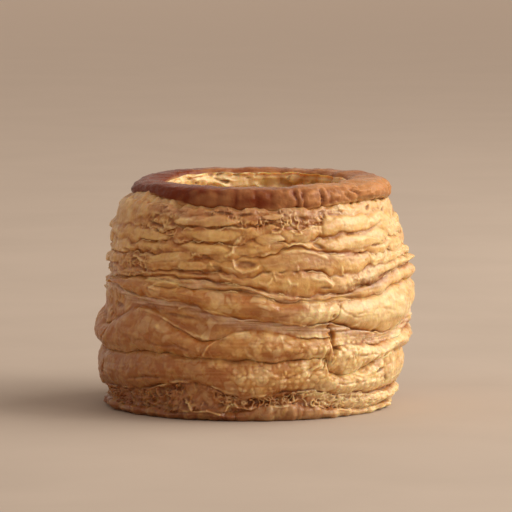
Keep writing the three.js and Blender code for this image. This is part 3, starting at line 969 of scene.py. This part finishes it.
# %% Rim values
RIM_OUTER_RADIUS = 36.4
RIM_INNER_RADIUS = 25.9
RIM_MIDDLE_RADIUS = (RIM_OUTER_RADIUS + RIM_INNER_RADIUS) / 2
RIM_SHIFT = 2.2 + CENTRING
WELL_SHIFT = 0.6 + CENTRING
CROWN_HEIGHT = 64.8
RIM_LOW = 59.1
RIM_SUNK = 1
RIM_COLUMNS = 800
RIM_SEGMENTS = 64
TUBE_RADIUS = 5
OUTER_SWELLS = [swell(-62, 24, -0.8), swell(-92, 26, 1.2), swell(60, 40, 0.8)]
CROWN_SWELLS = [
    swell(-80, 30, -0.5), swell(25, 22, 0.4), swell(75, 50, 0.5), swell(180, 110, 0.6),
    swell(130, 50, 0.4), swell(-132, 50, 0.6),
]
LOW_SWELLS = [swell(-88, 55, 1.7), swell(-8, 44, -1.0), swell(60, 42, 2), swell(180, 80, 0.8)]
POINTED = [swell(-90, 34, 1)]
BARE_STRIP = [swell(-56, 30, 1), swell(54, 24, 0.4)]
# Painted light and shade by side: darker on the left, the front and the back, and lighter on the right where
# the light falls.
RIM_SIDE_LIGHT_AND_SHADE = [swell(-78, 90, 1.75), swell(-4, 40, 0.45), swell(58, 58, -2.7), swell(180, 80, 0.6)]
# Painted shade on the top of the rim at the left.
RIM_TOP_SHADE = [swell(-80, 80, 0.6)]
RIM_CRUMPLED = [swell(45, 62, 0.75), swell(160, 70, 0.4)]
RIM_SPLIT_ANGLE = 27
SPLIT_DEPTH = 1.6
FURROW_DEPTH = 1.9
FURROW_WIDTH = 0.7
FURROWS = [
    (-29, 0.1), (-20, 0.15), (-12, 0.2), (-9, 0.12), (-4, 0.25), (4, 0.15), (10, 0.25), (15, 0.8),
    (18.5, 0.7), (31.5, 0.55), (34.5, 0.5), (37.5, 0.5), (41, 0.6), (46, 0.8), (49.5, 0.6), (53, 0.5),
    (58, 0.5), (64, 0.4), (71, 0.4),
]
SMOOTH_RIM_FROM = 235
furrow_angle = 78
while furrow_angle < 322:
    faint = 0.2 if furrow_angle > SMOOTH_RIM_FROM else 1
    FURROWS.append((furrow_angle, faint * rng.uniform(0.2, 0.7)))
    furrow_angle += rng.uniform(3, 9)
print(len(FURROWS), "furrows round the rim")

# %% Rim
bpy.ops.object.select_all(action="DESELECT")
bpy.ops.mesh.primitive_torus_add(major_segments=RIM_COLUMNS, minor_segments=RIM_SEGMENTS,
                                 major_radius=RIM_MIDDLE_RADIUS * MM, minor_radius=TUBE_RADIUS * MM)
rim = bpy.context.object
rim.name = "glazed_rim"
bpy.ops.object.shade_smooth()


def rim_furrows(angle, up, wander):
    """How deep the puckers of the rim are, in mm."""
    slant = 4 * smooth(25, 45, angle) * up
    total = np.zeros_like(angle)
    for at, depth in FURROWS:
        away = np.radians(apart(angle + slant + wander, at)) * RIM_OUTER_RADIUS
        total = np.maximum(total, FURROW_DEPTH * depth * np.exp(-np.abs(away) / FURROW_WIDTH))
    return total


def shape_rim(piece):
    """Moves the torus to the rim's section, puckers and split, and keeps its bake marks."""
    plain = coords(piece)
    angle = plain_angle(plain)
    section = np.arctan2(plain[:, 2], np.hypot(plain[:, 0], plain[:, 1]) - RIM_MIDDLE_RADIUS)
    side = np.cos(section)
    power = np.where(side > 0, lerp(0.7, 1.2, swell_sum(POINTED, angle)), 0.4)
    out = np.sign(side) * np.abs(side) ** power
    up = np.sign(np.sin(section)) * np.abs(np.sin(section)) ** 0.85
    around = np.radians(angle)
    flat = np.column_stack((RIM_MIDDLE_RADIUS * np.sin(around), -RIM_MIDDLE_RADIUS * np.cos(around)))
    at = np.column_stack((flat, TUBE_RADIUS * up))
    ring = np.column_stack((flat, 6 * section))

    crown = CROWN_HEIGHT + swell_sum(CROWN_SWELLS, angle) + 0.3 * lumps(at, 8, 0.2, 21)
    bottom = RIM_LOW + swell_sum(LOW_SWELLS, angle) + 0.35 * lumps(at, 6, 0.1, 20)
    outer = RIM_OUTER_RADIUS + swell_sum(OUTER_SWELLS, angle) + 0.5 * lumps(at, 9, 0.2, 22)
    inner = RIM_INNER_RADIUS + 0.5 * lumps(at, 7, 0.2, 23)
    middle = lerp(bottom, crown, 0.4)
    outwards = 0.5 + 0.5 * out
    sunk = RIM_SUNK + 1.6 * smooth(0.85, 0.4, outwards)
    height = middle + np.where(up > 0, (crown - middle) * up, (middle - bottom + sunk) * up)

    furrows = rim_furrows(angle, up, 1.2 * lumps(at, 4, 1, 24))
    face = smooth(0.1, 0.7, out) * smooth(1, 0.75, up)
    crumpled = 0.35 + swell_sum(RIM_CRUMPLED, angle)
    crumples = crumpled * puckers(ring, 3.4, 1, 25, 0.02, 0.3)
    relief = (0.3 - furrows) * face + 0.45 * crumples + 0.16 * (0.3 + crumpled) * lumps(ring, 1.5, 1, 26)
    relief += 0.25 * lumps(ring, 7, 1, 49)
    across = np.radians(angle - RIM_SPLIT_ANGLE - 0.8 * lumps(at, 2, 2, 27)) * RIM_OUTER_RADIUS
    split = np.exp(-np.abs(across / 0.4) ** 1.5) * smooth(0, 0.6, out) * smooth(0.95, 0.6, up)
    bare_from = lerp(-0.45, 0.05, swell_sum(BARE_STRIP, angle))
    bare = smooth(bare_from, bare_from - 0.12, up + 0.15 * lumps(at, 5, 0.6, 28))
    layered = lumps(at, 12, 7, 38) * bare
    relief += 0.25 * layered - SPLIT_DEPTH * split

    radius = lerp(inner, outer, outwards) + relief * out
    height = height + relief * np.maximum(up, 0)
    shift = lerp(WELL_SHIFT, RIM_SHIFT, outwards)
    set_coords(piece, round_axis(angle, radius, height, shift))
    glaze = (1 - bare) * smooth(-1.0, -0.86, out)
    # Brown: its own mottling, with painted shade in the furrows, painted highlight on the crumple puffs,
    # painted light and shade by side, and painted shade on the top at the left.
    brown_and_shade = 0.5 + 0.2 * lumps(ring, 9, 1, 29) + 0.2 * lumps(ring, 2.5, 1, 30) + 0.6 * furrows * face
    brown_and_shade += 0.35 * swell_sum(RIM_SIDE_LIGHT_AND_SHADE, angle) - 0.5 * crumples
    brown_and_shade += swell_sum(RIM_TOP_SHADE, angle) * smooth(0.4, 0.9, up)
    keep_bake(piece, np.column_stack((glaze, brown_and_shade, 0.5 + 0.5 * layered, split)))


shape_rim(rim)
print("rim crown at", np.round(coords(rim).max(0)[2], 1), "mm")

# %% [markdown]
# ## The well
# Inside, the wall is pale and soft, and the torn ends of the layers hang as folded sheets. A circle is
# extruded down for the wall and drawn in for the floor, and a plain outside that the pastry hides closes it
# to a cup.

# %% Well
WELL_COLUMNS = 480
WELL_ROWS = 104
WELL_TOP = 64.0
WELL_TOP_SWELLS = CROWN_SWELLS + [swell(0, 115, -1.9)]
LINING_TUCK = 1.6
WELL_FLOOR = 16
WELL_WALL = 24.4
WELL_OUTSIDE = 28.5
WELL_BOTTOM = 13
# Painted shade on the inside of the well at the right, away from the light.
WELL_SHADED_SIDE = [swell(130, 90, 1)]
FLOOR_RINGS = 36
FLOOR_RADII = np.linspace(24, 1, FLOOR_RINGS).tolist()

well = start_circle("well_lining", WELL_OUTSIDE, WELL_TOP, columns=WELL_COLUMNS)
extrude_to_radius(WELL_OUTSIDE, WELL_WALL)
extrude_up(WELL_FLOOR - WELL_TOP)
for start, end in zip([WELL_WALL] + FLOOR_RADII, FLOOR_RADII):
    extrude_to_radius(start, end)
bpy.ops.mesh.merge(type="CENTER")
bpy.ops.mesh.select_all(action="DESELECT")
bpy.ops.mesh.select_non_manifold()
extrude_up(WELL_BOTTOM - WELL_TOP)
extrude_to_radius(WELL_OUTSIDE, CLOSING_RADIUS)
bpy.ops.mesh.merge(type="CENTER")
finish_modelling()
cut_upright_edges(well, WELL_FLOOR, WELL_TOP, WELL_WALL, WELL_ROWS)


def well_relief(at, angle, height):
    """How far the well's wall is drawn back, in mm, and its bake marks, which hold painted light and shade.
    """
    broad = lumps(at, 11, 1.4, 41)
    sheet, sheet_edge = flakes_in_relief(at, height, 5.5, 90)
    flake, flake_edge = flakes_in_relief(at, height, 1.9, 95)
    folds = puckers(at, 5, 0.7, 42, 0.02, 0.3)
    torn = smooth(-0.1, 0.5, lumps(at, 7, 1.6, 44))
    holes = torn * smooth(0.2, 0.6, lumps(at, 2.6, 1.8, 45))
    relief = 0.5 * broad - 1.3 * sheet - 0.5 * torn * flake - 0.7 * folds + 0.9 * holes
    relief += 0.7 * smooth(WELL_TOP - 1, WELL_TOP, height)
    shaded_side = swell_sum(WELL_SHADED_SIDE, angle) * smooth(WELL_FLOOR, WELL_FLOOR + 12, height)
    # Painted highlight where the wall stands out, and painted shade on the right side and in the holes.
    toast_and_shade = 0.15 + 0.25 * broad - 0.4 * folds - 0.3 * sheet + 0.6 * shaded_side
    pale = 0.62 + 0.4 * sheet_edge + 0.4 * torn * flake_edge + 0.6 * folds - 0.6 * shaded_side
    return relief, np.column_stack((toast_and_shade, pale, 0.1 * torn, 0.8 * holes))


def shape_well(piece):
    """Moves the plain cup to the torn wall and uneven floor of the well, and keeps its bake marks."""
    plain = coords(piece)
    angle = np.degrees(np.arctan2(plain[:, 0], -plain[:, 1]))
    plain_radius = np.hypot(plain[:, 0], plain[:, 1])
    inside = (plain_radius < WELL_WALL + 0.1) & (plain[:, 2] > WELL_FLOOR - 0.5)
    share = np.clip((plain[:, 2] - WELL_FLOOR) / (WELL_TOP - WELL_FLOOR), 0, 1)
    height = np.where(inside, lerp(WELL_FLOOR, WELL_TOP, 1 - (1 - share) ** 1.6), plain[:, 2])
    ragged = 0.35 * lumps(np.column_stack((plain[:, :2], 0 * share)), 4, 1, 50)
    top = swell_sum(WELL_TOP_SWELLS, angle) + np.where(inside, ragged, -LINING_TUCK)
    height += top * smooth(WELL_TOP - 8, WELL_TOP, height)
    up_wall = smooth(WELL_FLOOR, WELL_FLOOR + 2, height)
    relief, marks = well_relief(np.column_stack((plain[:, :2], height)), angle, height)
    radius = plain_radius + np.where(inside, relief * up_wall, 0)
    floor_relief = 0.9 * lumps(plain, 9, 1, 46) + 0.6 * puckers(plain, 4, 1, 47, 0.02, 0.3) - 0.5
    on_floor = inside & (up_wall < 0.01)
    marks[:, 3] *= up_wall
    height = height + np.where(on_floor, floor_relief * smooth(25.7, 23, plain_radius), 0)
    set_coords(piece, round_axis(angle, radius, height, WELL_SHIFT))
    keep_bake(piece, marks)


shape_well(well)
print("well lined to a depth of", CROWN_HEIGHT - WELL_FLOOR, "mm")

# %% [markdown]
# ## Torn lips
# Where a layer's edge stands out its skin tore, and a thin ragged lip is left along the seam. There are
# hundreds of these lips, all of one kind, so they are worked out together as arrays and become one mesh.
# Each holds to the wall along one edge, which follows its seam, and its free edge is ragged and curls out.

# %% Torn lips
LIP_COLUMNS = 15
LIP_ROWS = 3
LIP_COUNT = 360
LIP_THICKNESS = 0.11
LIP_SEAMS = [2, 5, 6, 6, 7, 7, 8, 8, 9, 9, 10, 10, 11, 11]


def layer_at(angle, height):
    """Layer number at a place on the wall, and the distances to the seams below and above."""
    seams = seam_heights(angle)
    layer = np.clip((height >= seams).sum(0) - 1, 0, TOP_LAYER)
    every = np.arange(len(angle))
    from_below = np.maximum(height - seams[layer, every], 0)
    from_above = np.maximum(seams[layer + 1, every] - height, TOLERANCE)
    return layer, from_below, from_above


def wall_radius(angle, height):
    """Radius of the risen wall, for arrays of any shape."""
    flat_angle, flat_height = angle.ravel(), height.ravel()
    relief = wall_relief(flat_angle, flat_height, *layer_at(flat_angle, flat_height))[0]
    return (body_radius(flat_height) + relief).reshape(angle.shape)


def softened(rows, times):
    """Rows of numbers with each number drawn towards its neighbours."""
    for again in range(times):
        rows[:, 1:-1] = (rows[:, :-2] + 2 * rows[:, 1:-1] + rows[:, 2:]) / 4
    return rows


def sheet_faces(columns, rows):
    """Corner numbers of one closed sheet: a front grid, a back grid and the edge between them."""
    grid = np.arange(columns * rows).reshape(columns, rows).tolist()
    back = columns * rows
    front = [(grid[i][j], grid[i + 1][j], grid[i + 1][j + 1], grid[i][j + 1])
             for i in range(columns - 1) for j in range(rows - 1)]
    edge = [row[0] for row in grid[:-1]] + grid[-1][:-1] + [row[-1] for row in grid[:0:-1]] + grid[0][:0:-1]
    sides = [(b, a, a + back, b + back) for a, b in zip(edge, edge[1:] + edge[:1])]
    return front + [tuple(corner + back for corner in reversed(face)) for face in front] + sides


def draw_lips(count):
    """Corner places and bake marks of torn lips on the seams."""
    seam = rng.choice(LIP_SEAMS, count)
    middle = rng.uniform(-180, 180, count)
    downwards = np.where(overhang(middle, seam) > 0, -1, 1)[:, None]
    along = np.linspace(-0.5, 0.5, LIP_COLUMNS)
    length = rng.uniform(2, 4, (count, 1)) * rng.choice([0.6, 1, 1.5], (count, 1))
    path = middle[:, None] + np.degrees(along * length / WIDEST_RADIUS)
    seams = seam_heights(path.ravel())
    hold = seams[np.repeat(seam, LIP_COLUMNS), np.arange(path.size)].reshape(path.shape) - 0.35 * downwards
    ground = softened(wall_radius(path, hold), 3)
    ragged = softened(rng.uniform(0.1, 1.7, path.shape), 2)
    open_share = smooth(0, 0.5, seam_opening(middle, seam))[:, None]
    reach = rng.uniform(0.2, 0.45, (count, 1)) * np.sqrt(1 - (1.96 * along) ** 2) * ragged * open_share
    slope = np.radians(rng.uniform(0, 22, (count, 1)))
    sheets = []
    for side in (0, -LIP_THICKNESS):
        for share in np.linspace(0, 1, LIP_ROWS):
            bend = slope * (0.6 + 0.6 * share)
            height = hold + downwards * reach * share * np.cos(bend)
            radius = ground + reach * share * np.sin(bend) + side - 0.02
            sheets.append(np.stack((path, radius, height), -1))
    corners = np.stack(sheets, 2).reshape(count, LIP_COLUMNS, 2, LIP_ROWS, 3).swapaxes(1, 2).reshape(-1, 3)
    places = on_barrel(corners[:, 0], corners[:, 1], corners[:, 2])
    share = np.linspace(0, 1, LIP_ROWS)
    toast_and_shade = np.broadcast_to(rng.uniform(0.1, 0.6, (count, 1, 1, 1)), (count, 2, LIP_COLUMNS, LIP_ROWS))
    pale = 0.15 + 0.55 * share + rng.uniform(-0.15, 0.25, (count, 1, 1, 1)) + 0 * toast_and_shade
    marks = np.stack((toast_and_shade, pale, 0 * toast_and_shade, 0 * toast_and_shade), -1)
    return places.reshape(count, -1, 3), marks.reshape(-1, 4)


def joined_mesh(name, places, faces, marks):
    """One piece from many like ones. Places is (pieces, corners, 3) in mm, and faces has the faces of one."""
    pieces, corners = places.shape[:2]
    all_faces = [tuple(corner + number * corners for corner in face)
                 for number in range(pieces) for face in faces]
    data = bpy.data.meshes.new(name)
    data.from_pydata((places.reshape(-1, 3) * MM).tolist(), [], all_faces)
    piece = bpy.data.objects.new(name, data)
    bpy.context.scene.collection.objects.link(piece)
    bpy.ops.object.select_all(action="DESELECT")
    bpy.context.view_layer.objects.active = piece
    piece.select_set(True)
    bpy.ops.object.mode_set(mode="EDIT")
    finish_modelling()
    keep_bake(piece, marks)
    print(name, "joined from", pieces, "small pieces")
    return piece


lip_places, lip_marks = draw_lips(LIP_COUNT)
lips = joined_mesh("torn_lips", lip_places, sheet_faces(LIP_COLUMNS, LIP_ROWS), lip_marks)

# %% [markdown]
# ## Finishes
# The pastry is one material read through the bake marks: golden skin, amber where it toasted and where
# shade is painted, cream on blisters, lips and painted highlights, pink on the cut laminations, and a dark
# brown for painted shade in creases, hollows, pits and the tear and for the browner foot. It is buttery, so
# it has a soft shine, and light sinks a little way in. The rim has a second material: a brown glaze with a
# sharper shine, which also holds painted light and shade.

# %% Material helpers


def new_material(name):
    material = bpy.data.materials.new(name)
    material.use_nodes = True
    return material, material.node_tree.nodes, material.node_tree.links


def add_node(nodes, kind, **settings):
    node = nodes.new(kind)
    for key, value in settings.items():
        setattr(node, key, value)
    return node


def read_bake(nodes, links):
    """Sockets of the four bake marks."""
    attribute = add_node(nodes, "ShaderNodeAttribute", attribute_name="bake")
    parts = add_node(nodes, "ShaderNodeSeparateColor")
    links.new(attribute.outputs["Color"], parts.inputs["Color"])
    return parts.outputs["Red"], parts.outputs["Green"], parts.outputs["Blue"], attribute.outputs["Alpha"]


def mixed(nodes, links, factor, start, end):
    """Mixes two colours by a socket, and returns the new colour's socket."""
    node = add_node(nodes, "ShaderNodeMix", data_type="RGBA")
    links.new(factor, node.inputs[0])
    for socket, value in ((node.inputs[6], start), (node.inputs[7], end)):
        if isinstance(value, tuple):
            socket.default_value = (*value, 1)
        else:
            links.new(value, socket)
    return node.outputs[2]


def spread(nodes, links, value, start, end, low, high):
    """Spreads a socket's range from start to end over low to high."""
    node = add_node(nodes, "ShaderNodeMapRange")
    for name, number in (("From Min", start), ("From Max", end), ("To Min", low), ("To Max", high)):
        node.inputs[name].default_value = number
    links.new(value, node.inputs["Value"])
    return node.outputs["Result"]


def product(nodes, links, first, second):
    """Multiplies two sockets."""
    node = add_node(nodes, "ShaderNodeMath", operation="MULTIPLY")
    links.new(first, node.inputs[0])
    links.new(second, node.inputs[1])
    return node.outputs["Value"]


def speckle(nodes, links, size, detail, low, high, start=0.3, end=0.7):
    """Noise on the object's own coordinates. Its values from start to end are spread over low to high."""
    place = add_node(nodes, "ShaderNodeTexCoord")
    grain = add_node(nodes, "ShaderNodeTexNoise")
    grain.inputs["Scale"].default_value = 1 / (size * MM)
    grain.inputs["Detail"].default_value = detail
    grain.inputs["Distortion"].default_value = 0.4
    links.new(place.outputs["Object"], grain.inputs["Vector"])
    return spread(nodes, links, grain.outputs["Fac"], start, end, low, high)


def soft_bump(nodes, links, shader, size, strength, depth):
    """Small soft bumps on a shader's normal, with their size and depth in mm."""
    bump = add_node(nodes, "ShaderNodeBump")
    bump.inputs["Strength"].default_value = strength
    bump.inputs["Distance"].default_value = depth * MM
    links.new(speckle(nodes, links, size, 1.4, 0, 1), bump.inputs["Height"])
    links.new(bump.outputs["Normal"], shader.inputs["Normal"])


def let_light_in(shader, weight, depth, colour):
    """Lets light sink into a shader, to a depth in mm that differs for red, green and blue."""
    shader.inputs["Subsurface Weight"].default_value = weight
    shader.inputs["Subsurface Radius"].default_value = colour
    shader.inputs["Subsurface Scale"].default_value = depth * MM


# %% Pastry
GOLDEN = (0.73, 0.41, 0.115)
HONEY = (0.82, 0.56, 0.205)
AMBER = (0.44, 0.155, 0.031)
CREAM = (0.915, 0.71, 0.38)
PINK = (0.75, 0.525, 0.365)
SHADE_AND_CRUST_BROWN = (0.27, 0.09, 0.023)
PASTRY_SHINE = 0.52
CRUST_SOFTNESS = 0.75
LIGHT_DEPTH = 1.4
LIGHT_COLOUR = (1.0, 0.58, 0.28)


def pastry_material(name, softness):
    """Pastry read through its bake marks. Softness is how much light sinks in; thin flakes take none."""
    material, nodes, links = new_material(name)
    shader = nodes["Principled BSDF"]
    toast_and_shade, pale, pink, dark = read_bake(nodes, links)
    # Toast carries painted shade, pale carries painted light, and the dark mark is mostly painted shade.
    colour = mixed(nodes, links, toast_and_shade, GOLDEN, AMBER)
    colour = mixed(nodes, links, pale, colour, CREAM)
    colour = mixed(nodes, links, pink, colour, PINK)
    colour = mixed(nodes, links, dark, colour, SHADE_AND_CRUST_BROWN)
    patches = speckle(nodes, links, 2.6, 3, 0, 0.4, 0.49, 0.62)
    patches = product(nodes, links, patches, spread(nodes, links, toast_and_shade, 0.3, 1, 1, 0.5))
    colour = mixed(nodes, links, patches, colour, HONEY)
    colour = mixed(nodes, links, speckle(nodes, links, 1.7, 4, 0, 0.3, 0.5, 0.66), colour, AMBER)
    links.new(colour, shader.inputs["Base Color"])
    links.new(speckle(nodes, links, 3, 3, 0.22, 0.44), shader.inputs["Roughness"])
    shader.inputs["Specular IOR Level"].default_value = PASTRY_SHINE
    let_light_in(shader, softness, LIGHT_DEPTH, LIGHT_COLOUR)
    soft_bump(nodes, links, shader, 1.3, 0.4, 0.2)
    return material


pastry = pastry_material("baked_pastry", CRUST_SOFTNESS)
thin_pastry = pastry_material("thin_pastry", 0)

# %% Glaze
MAHOGANY = (0.17, 0.029, 0.006)
CHESTNUT = (0.57, 0.26, 0.10)
BARE_EDGE = (0.60, 0.32, 0.125)
BARE_LINE = (0.36, 0.17, 0.075)
GLAZE_SHINE = 0.06
COAT_WEIGHT = 0.2
COAT_ROUGHNESS = 0.12


def glaze_material():
    """Egg wash on the rim: brown by its bake marks, which hold painted light and shade, with the bare layered
    edge left under the glaze.
    """
    material, nodes, links = new_material("glazed_crust")
    shader = nodes["Principled BSDF"]
    glaze, brown_and_shade, layered, split = read_bake(nodes, links)
    colour = mixed(nodes, links, brown_and_shade, CHESTNUT, MAHOGANY)
    bare = mixed(nodes, links, layered, BARE_LINE, BARE_EDGE)
    colour = mixed(nodes, links, glaze, bare, colour)
    # Painted shade in the split.
    colour = mixed(nodes, links, split, colour, MAHOGANY)
    links.new(colour, shader.inputs["Base Color"])
    links.new(speckle(nodes, links, 2, 3, 0.2, 0.36), shader.inputs["Roughness"])
    shader.inputs["Specular IOR Level"].default_value = GLAZE_SHINE
    shader.inputs["Coat Weight"].default_value = COAT_WEIGHT
    shader.inputs["Coat Roughness"].default_value = COAT_ROUGHNESS
    let_light_in(shader, 0.15, 0.8, (1.0, 0.35, 0.12))
    soft_bump(nodes, links, shader, 1.2, 0.5, 0.22)
    return material


glazed = glaze_material()

# %% Put the pieces on the frame
finishes = {lower_wall: pastry, middle_wall: pastry, upper_wall: pastry, well: pastry, rim: glazed,
            lips: thin_pastry}
for piece, finish in finishes.items():
    piece.data.materials.clear()
    piece.data.materials.append(finish)
    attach(piece, "root")
    piece.data.calc_loop_triangles()
    print(piece.name, len(piece.data.loop_triangles), "triangles")
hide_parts("pastry_case")

# %% [markdown]
# ## Stage, light and camera
# The case stands on a wide pale floor, so that it can be seen from every side. A large soft light from the
# right gives the warm side, a broader one fills the front, and the room's own glow fills the rest. The
# camera is far off with a long lens, a little above, and sees only floor behind the case.

# %% Stage
FLOOR_SIZE = 12
PAPER_LIGHT = (0.52, 0.43, 0.35)
PAPER_CLOUD = (0.48, 0.395, 0.32)
PAPER_FAR = (0.80, 0.67, 0.55)
FAR_FROM = 0.05
FAR_TO = 2.5
PAPER_ROUGHNESS = 0.85

bpy.ops.object.select_all(action="DESELECT")
bpy.ops.mesh.primitive_plane_add(size=FLOOR_SIZE)
stage = bpy.context.object
stage.name = "stage"


def stage_material():
    """Pale paper, a little paler far behind the case, where less of the light reaches it."""
    material, nodes, links = new_material("stage_paper")
    shader = nodes["Principled BSDF"]
    colour = mixed(nodes, links, speckle(nodes, links, 60, 4, 0, 1), PAPER_LIGHT, PAPER_CLOUD)
    place = add_node(nodes, "ShaderNodeTexCoord")
    parts = add_node(nodes, "ShaderNodeSeparateXYZ")
    links.new(place.outputs["Object"], parts.inputs["Vector"])
    far = spread(nodes, links, parts.outputs["Y"], FAR_FROM, FAR_TO, 0, 1)
    links.new(mixed(nodes, links, far, colour, PAPER_FAR), shader.inputs["Base Color"])
    shader.inputs["Roughness"].default_value = PAPER_ROUGHNESS
    return material


stage.data.materials.append(stage_material())

# %% Light
KEY = dict(angle=97, elevation=38, distance=1.1, size=1.1, watts=9.3, colour=(1.0, 0.95, 0.88))
FILL = dict(angle=62, elevation=34, distance=1.5, size=1.2, watts=8.9, colour=(1.0, 0.93, 0.85))
ROOM_COLOUR = (1.0, 0.84, 0.72, 1)
ROOM_GLOW = 0.5


def aim(obj, target):
    """Turns an object so that its -Z axis points at a place."""
    direction = target - obj.location
    obj.rotation_euler = direction.to_track_quat("-Z", "Y").to_euler()


def area_light(name, angle, elevation, distance, size, watts, colour):
    """A soft round light at an angle from the front, aimed at the middle of the case."""
    bpy.ops.object.light_add(type="AREA")
    light = bpy.context.object
    light.name = name
    flat = math.cos(math.radians(elevation)) * distance
    light.location = (flat * math.sin(math.radians(angle)), -flat * math.cos(math.radians(angle)),
                      math.sin(math.radians(elevation)) * distance)
    aim(light, (case_low + case_high) / 2)
    light.data.shape = "DISK"
    light.data.size = size
    light.data.energy = watts
    light.data.color = colour


area_light("key", **KEY)
area_light("fill", **FILL)
world = bpy.data.worlds.new("room")
bpy.context.scene.world = world
world.use_nodes = True
world.node_tree.nodes["Background"].inputs["Color"].default_value = ROOM_COLOUR
world.node_tree.nodes["Background"].inputs["Strength"].default_value = ROOM_GLOW
bpy.context.scene.view_settings.view_transform = "Standard"

# %% Camera
CAMERA_DISTANCE = 1.4
CAMERA_HEIGHT = 0.18
CAMERA_PITCH = 5.605
CAMERA_VIEW = 5.98

bpy.ops.object.camera_add(location=(CENTRING * MM, -CAMERA_DISTANCE, CAMERA_HEIGHT),
                          rotation=(math.radians(90 - CAMERA_PITCH), 0, 0))
camera = bpy.context.object
camera.data.angle = math.radians(CAMERA_VIEW)
bpy.context.scene.camera = camera
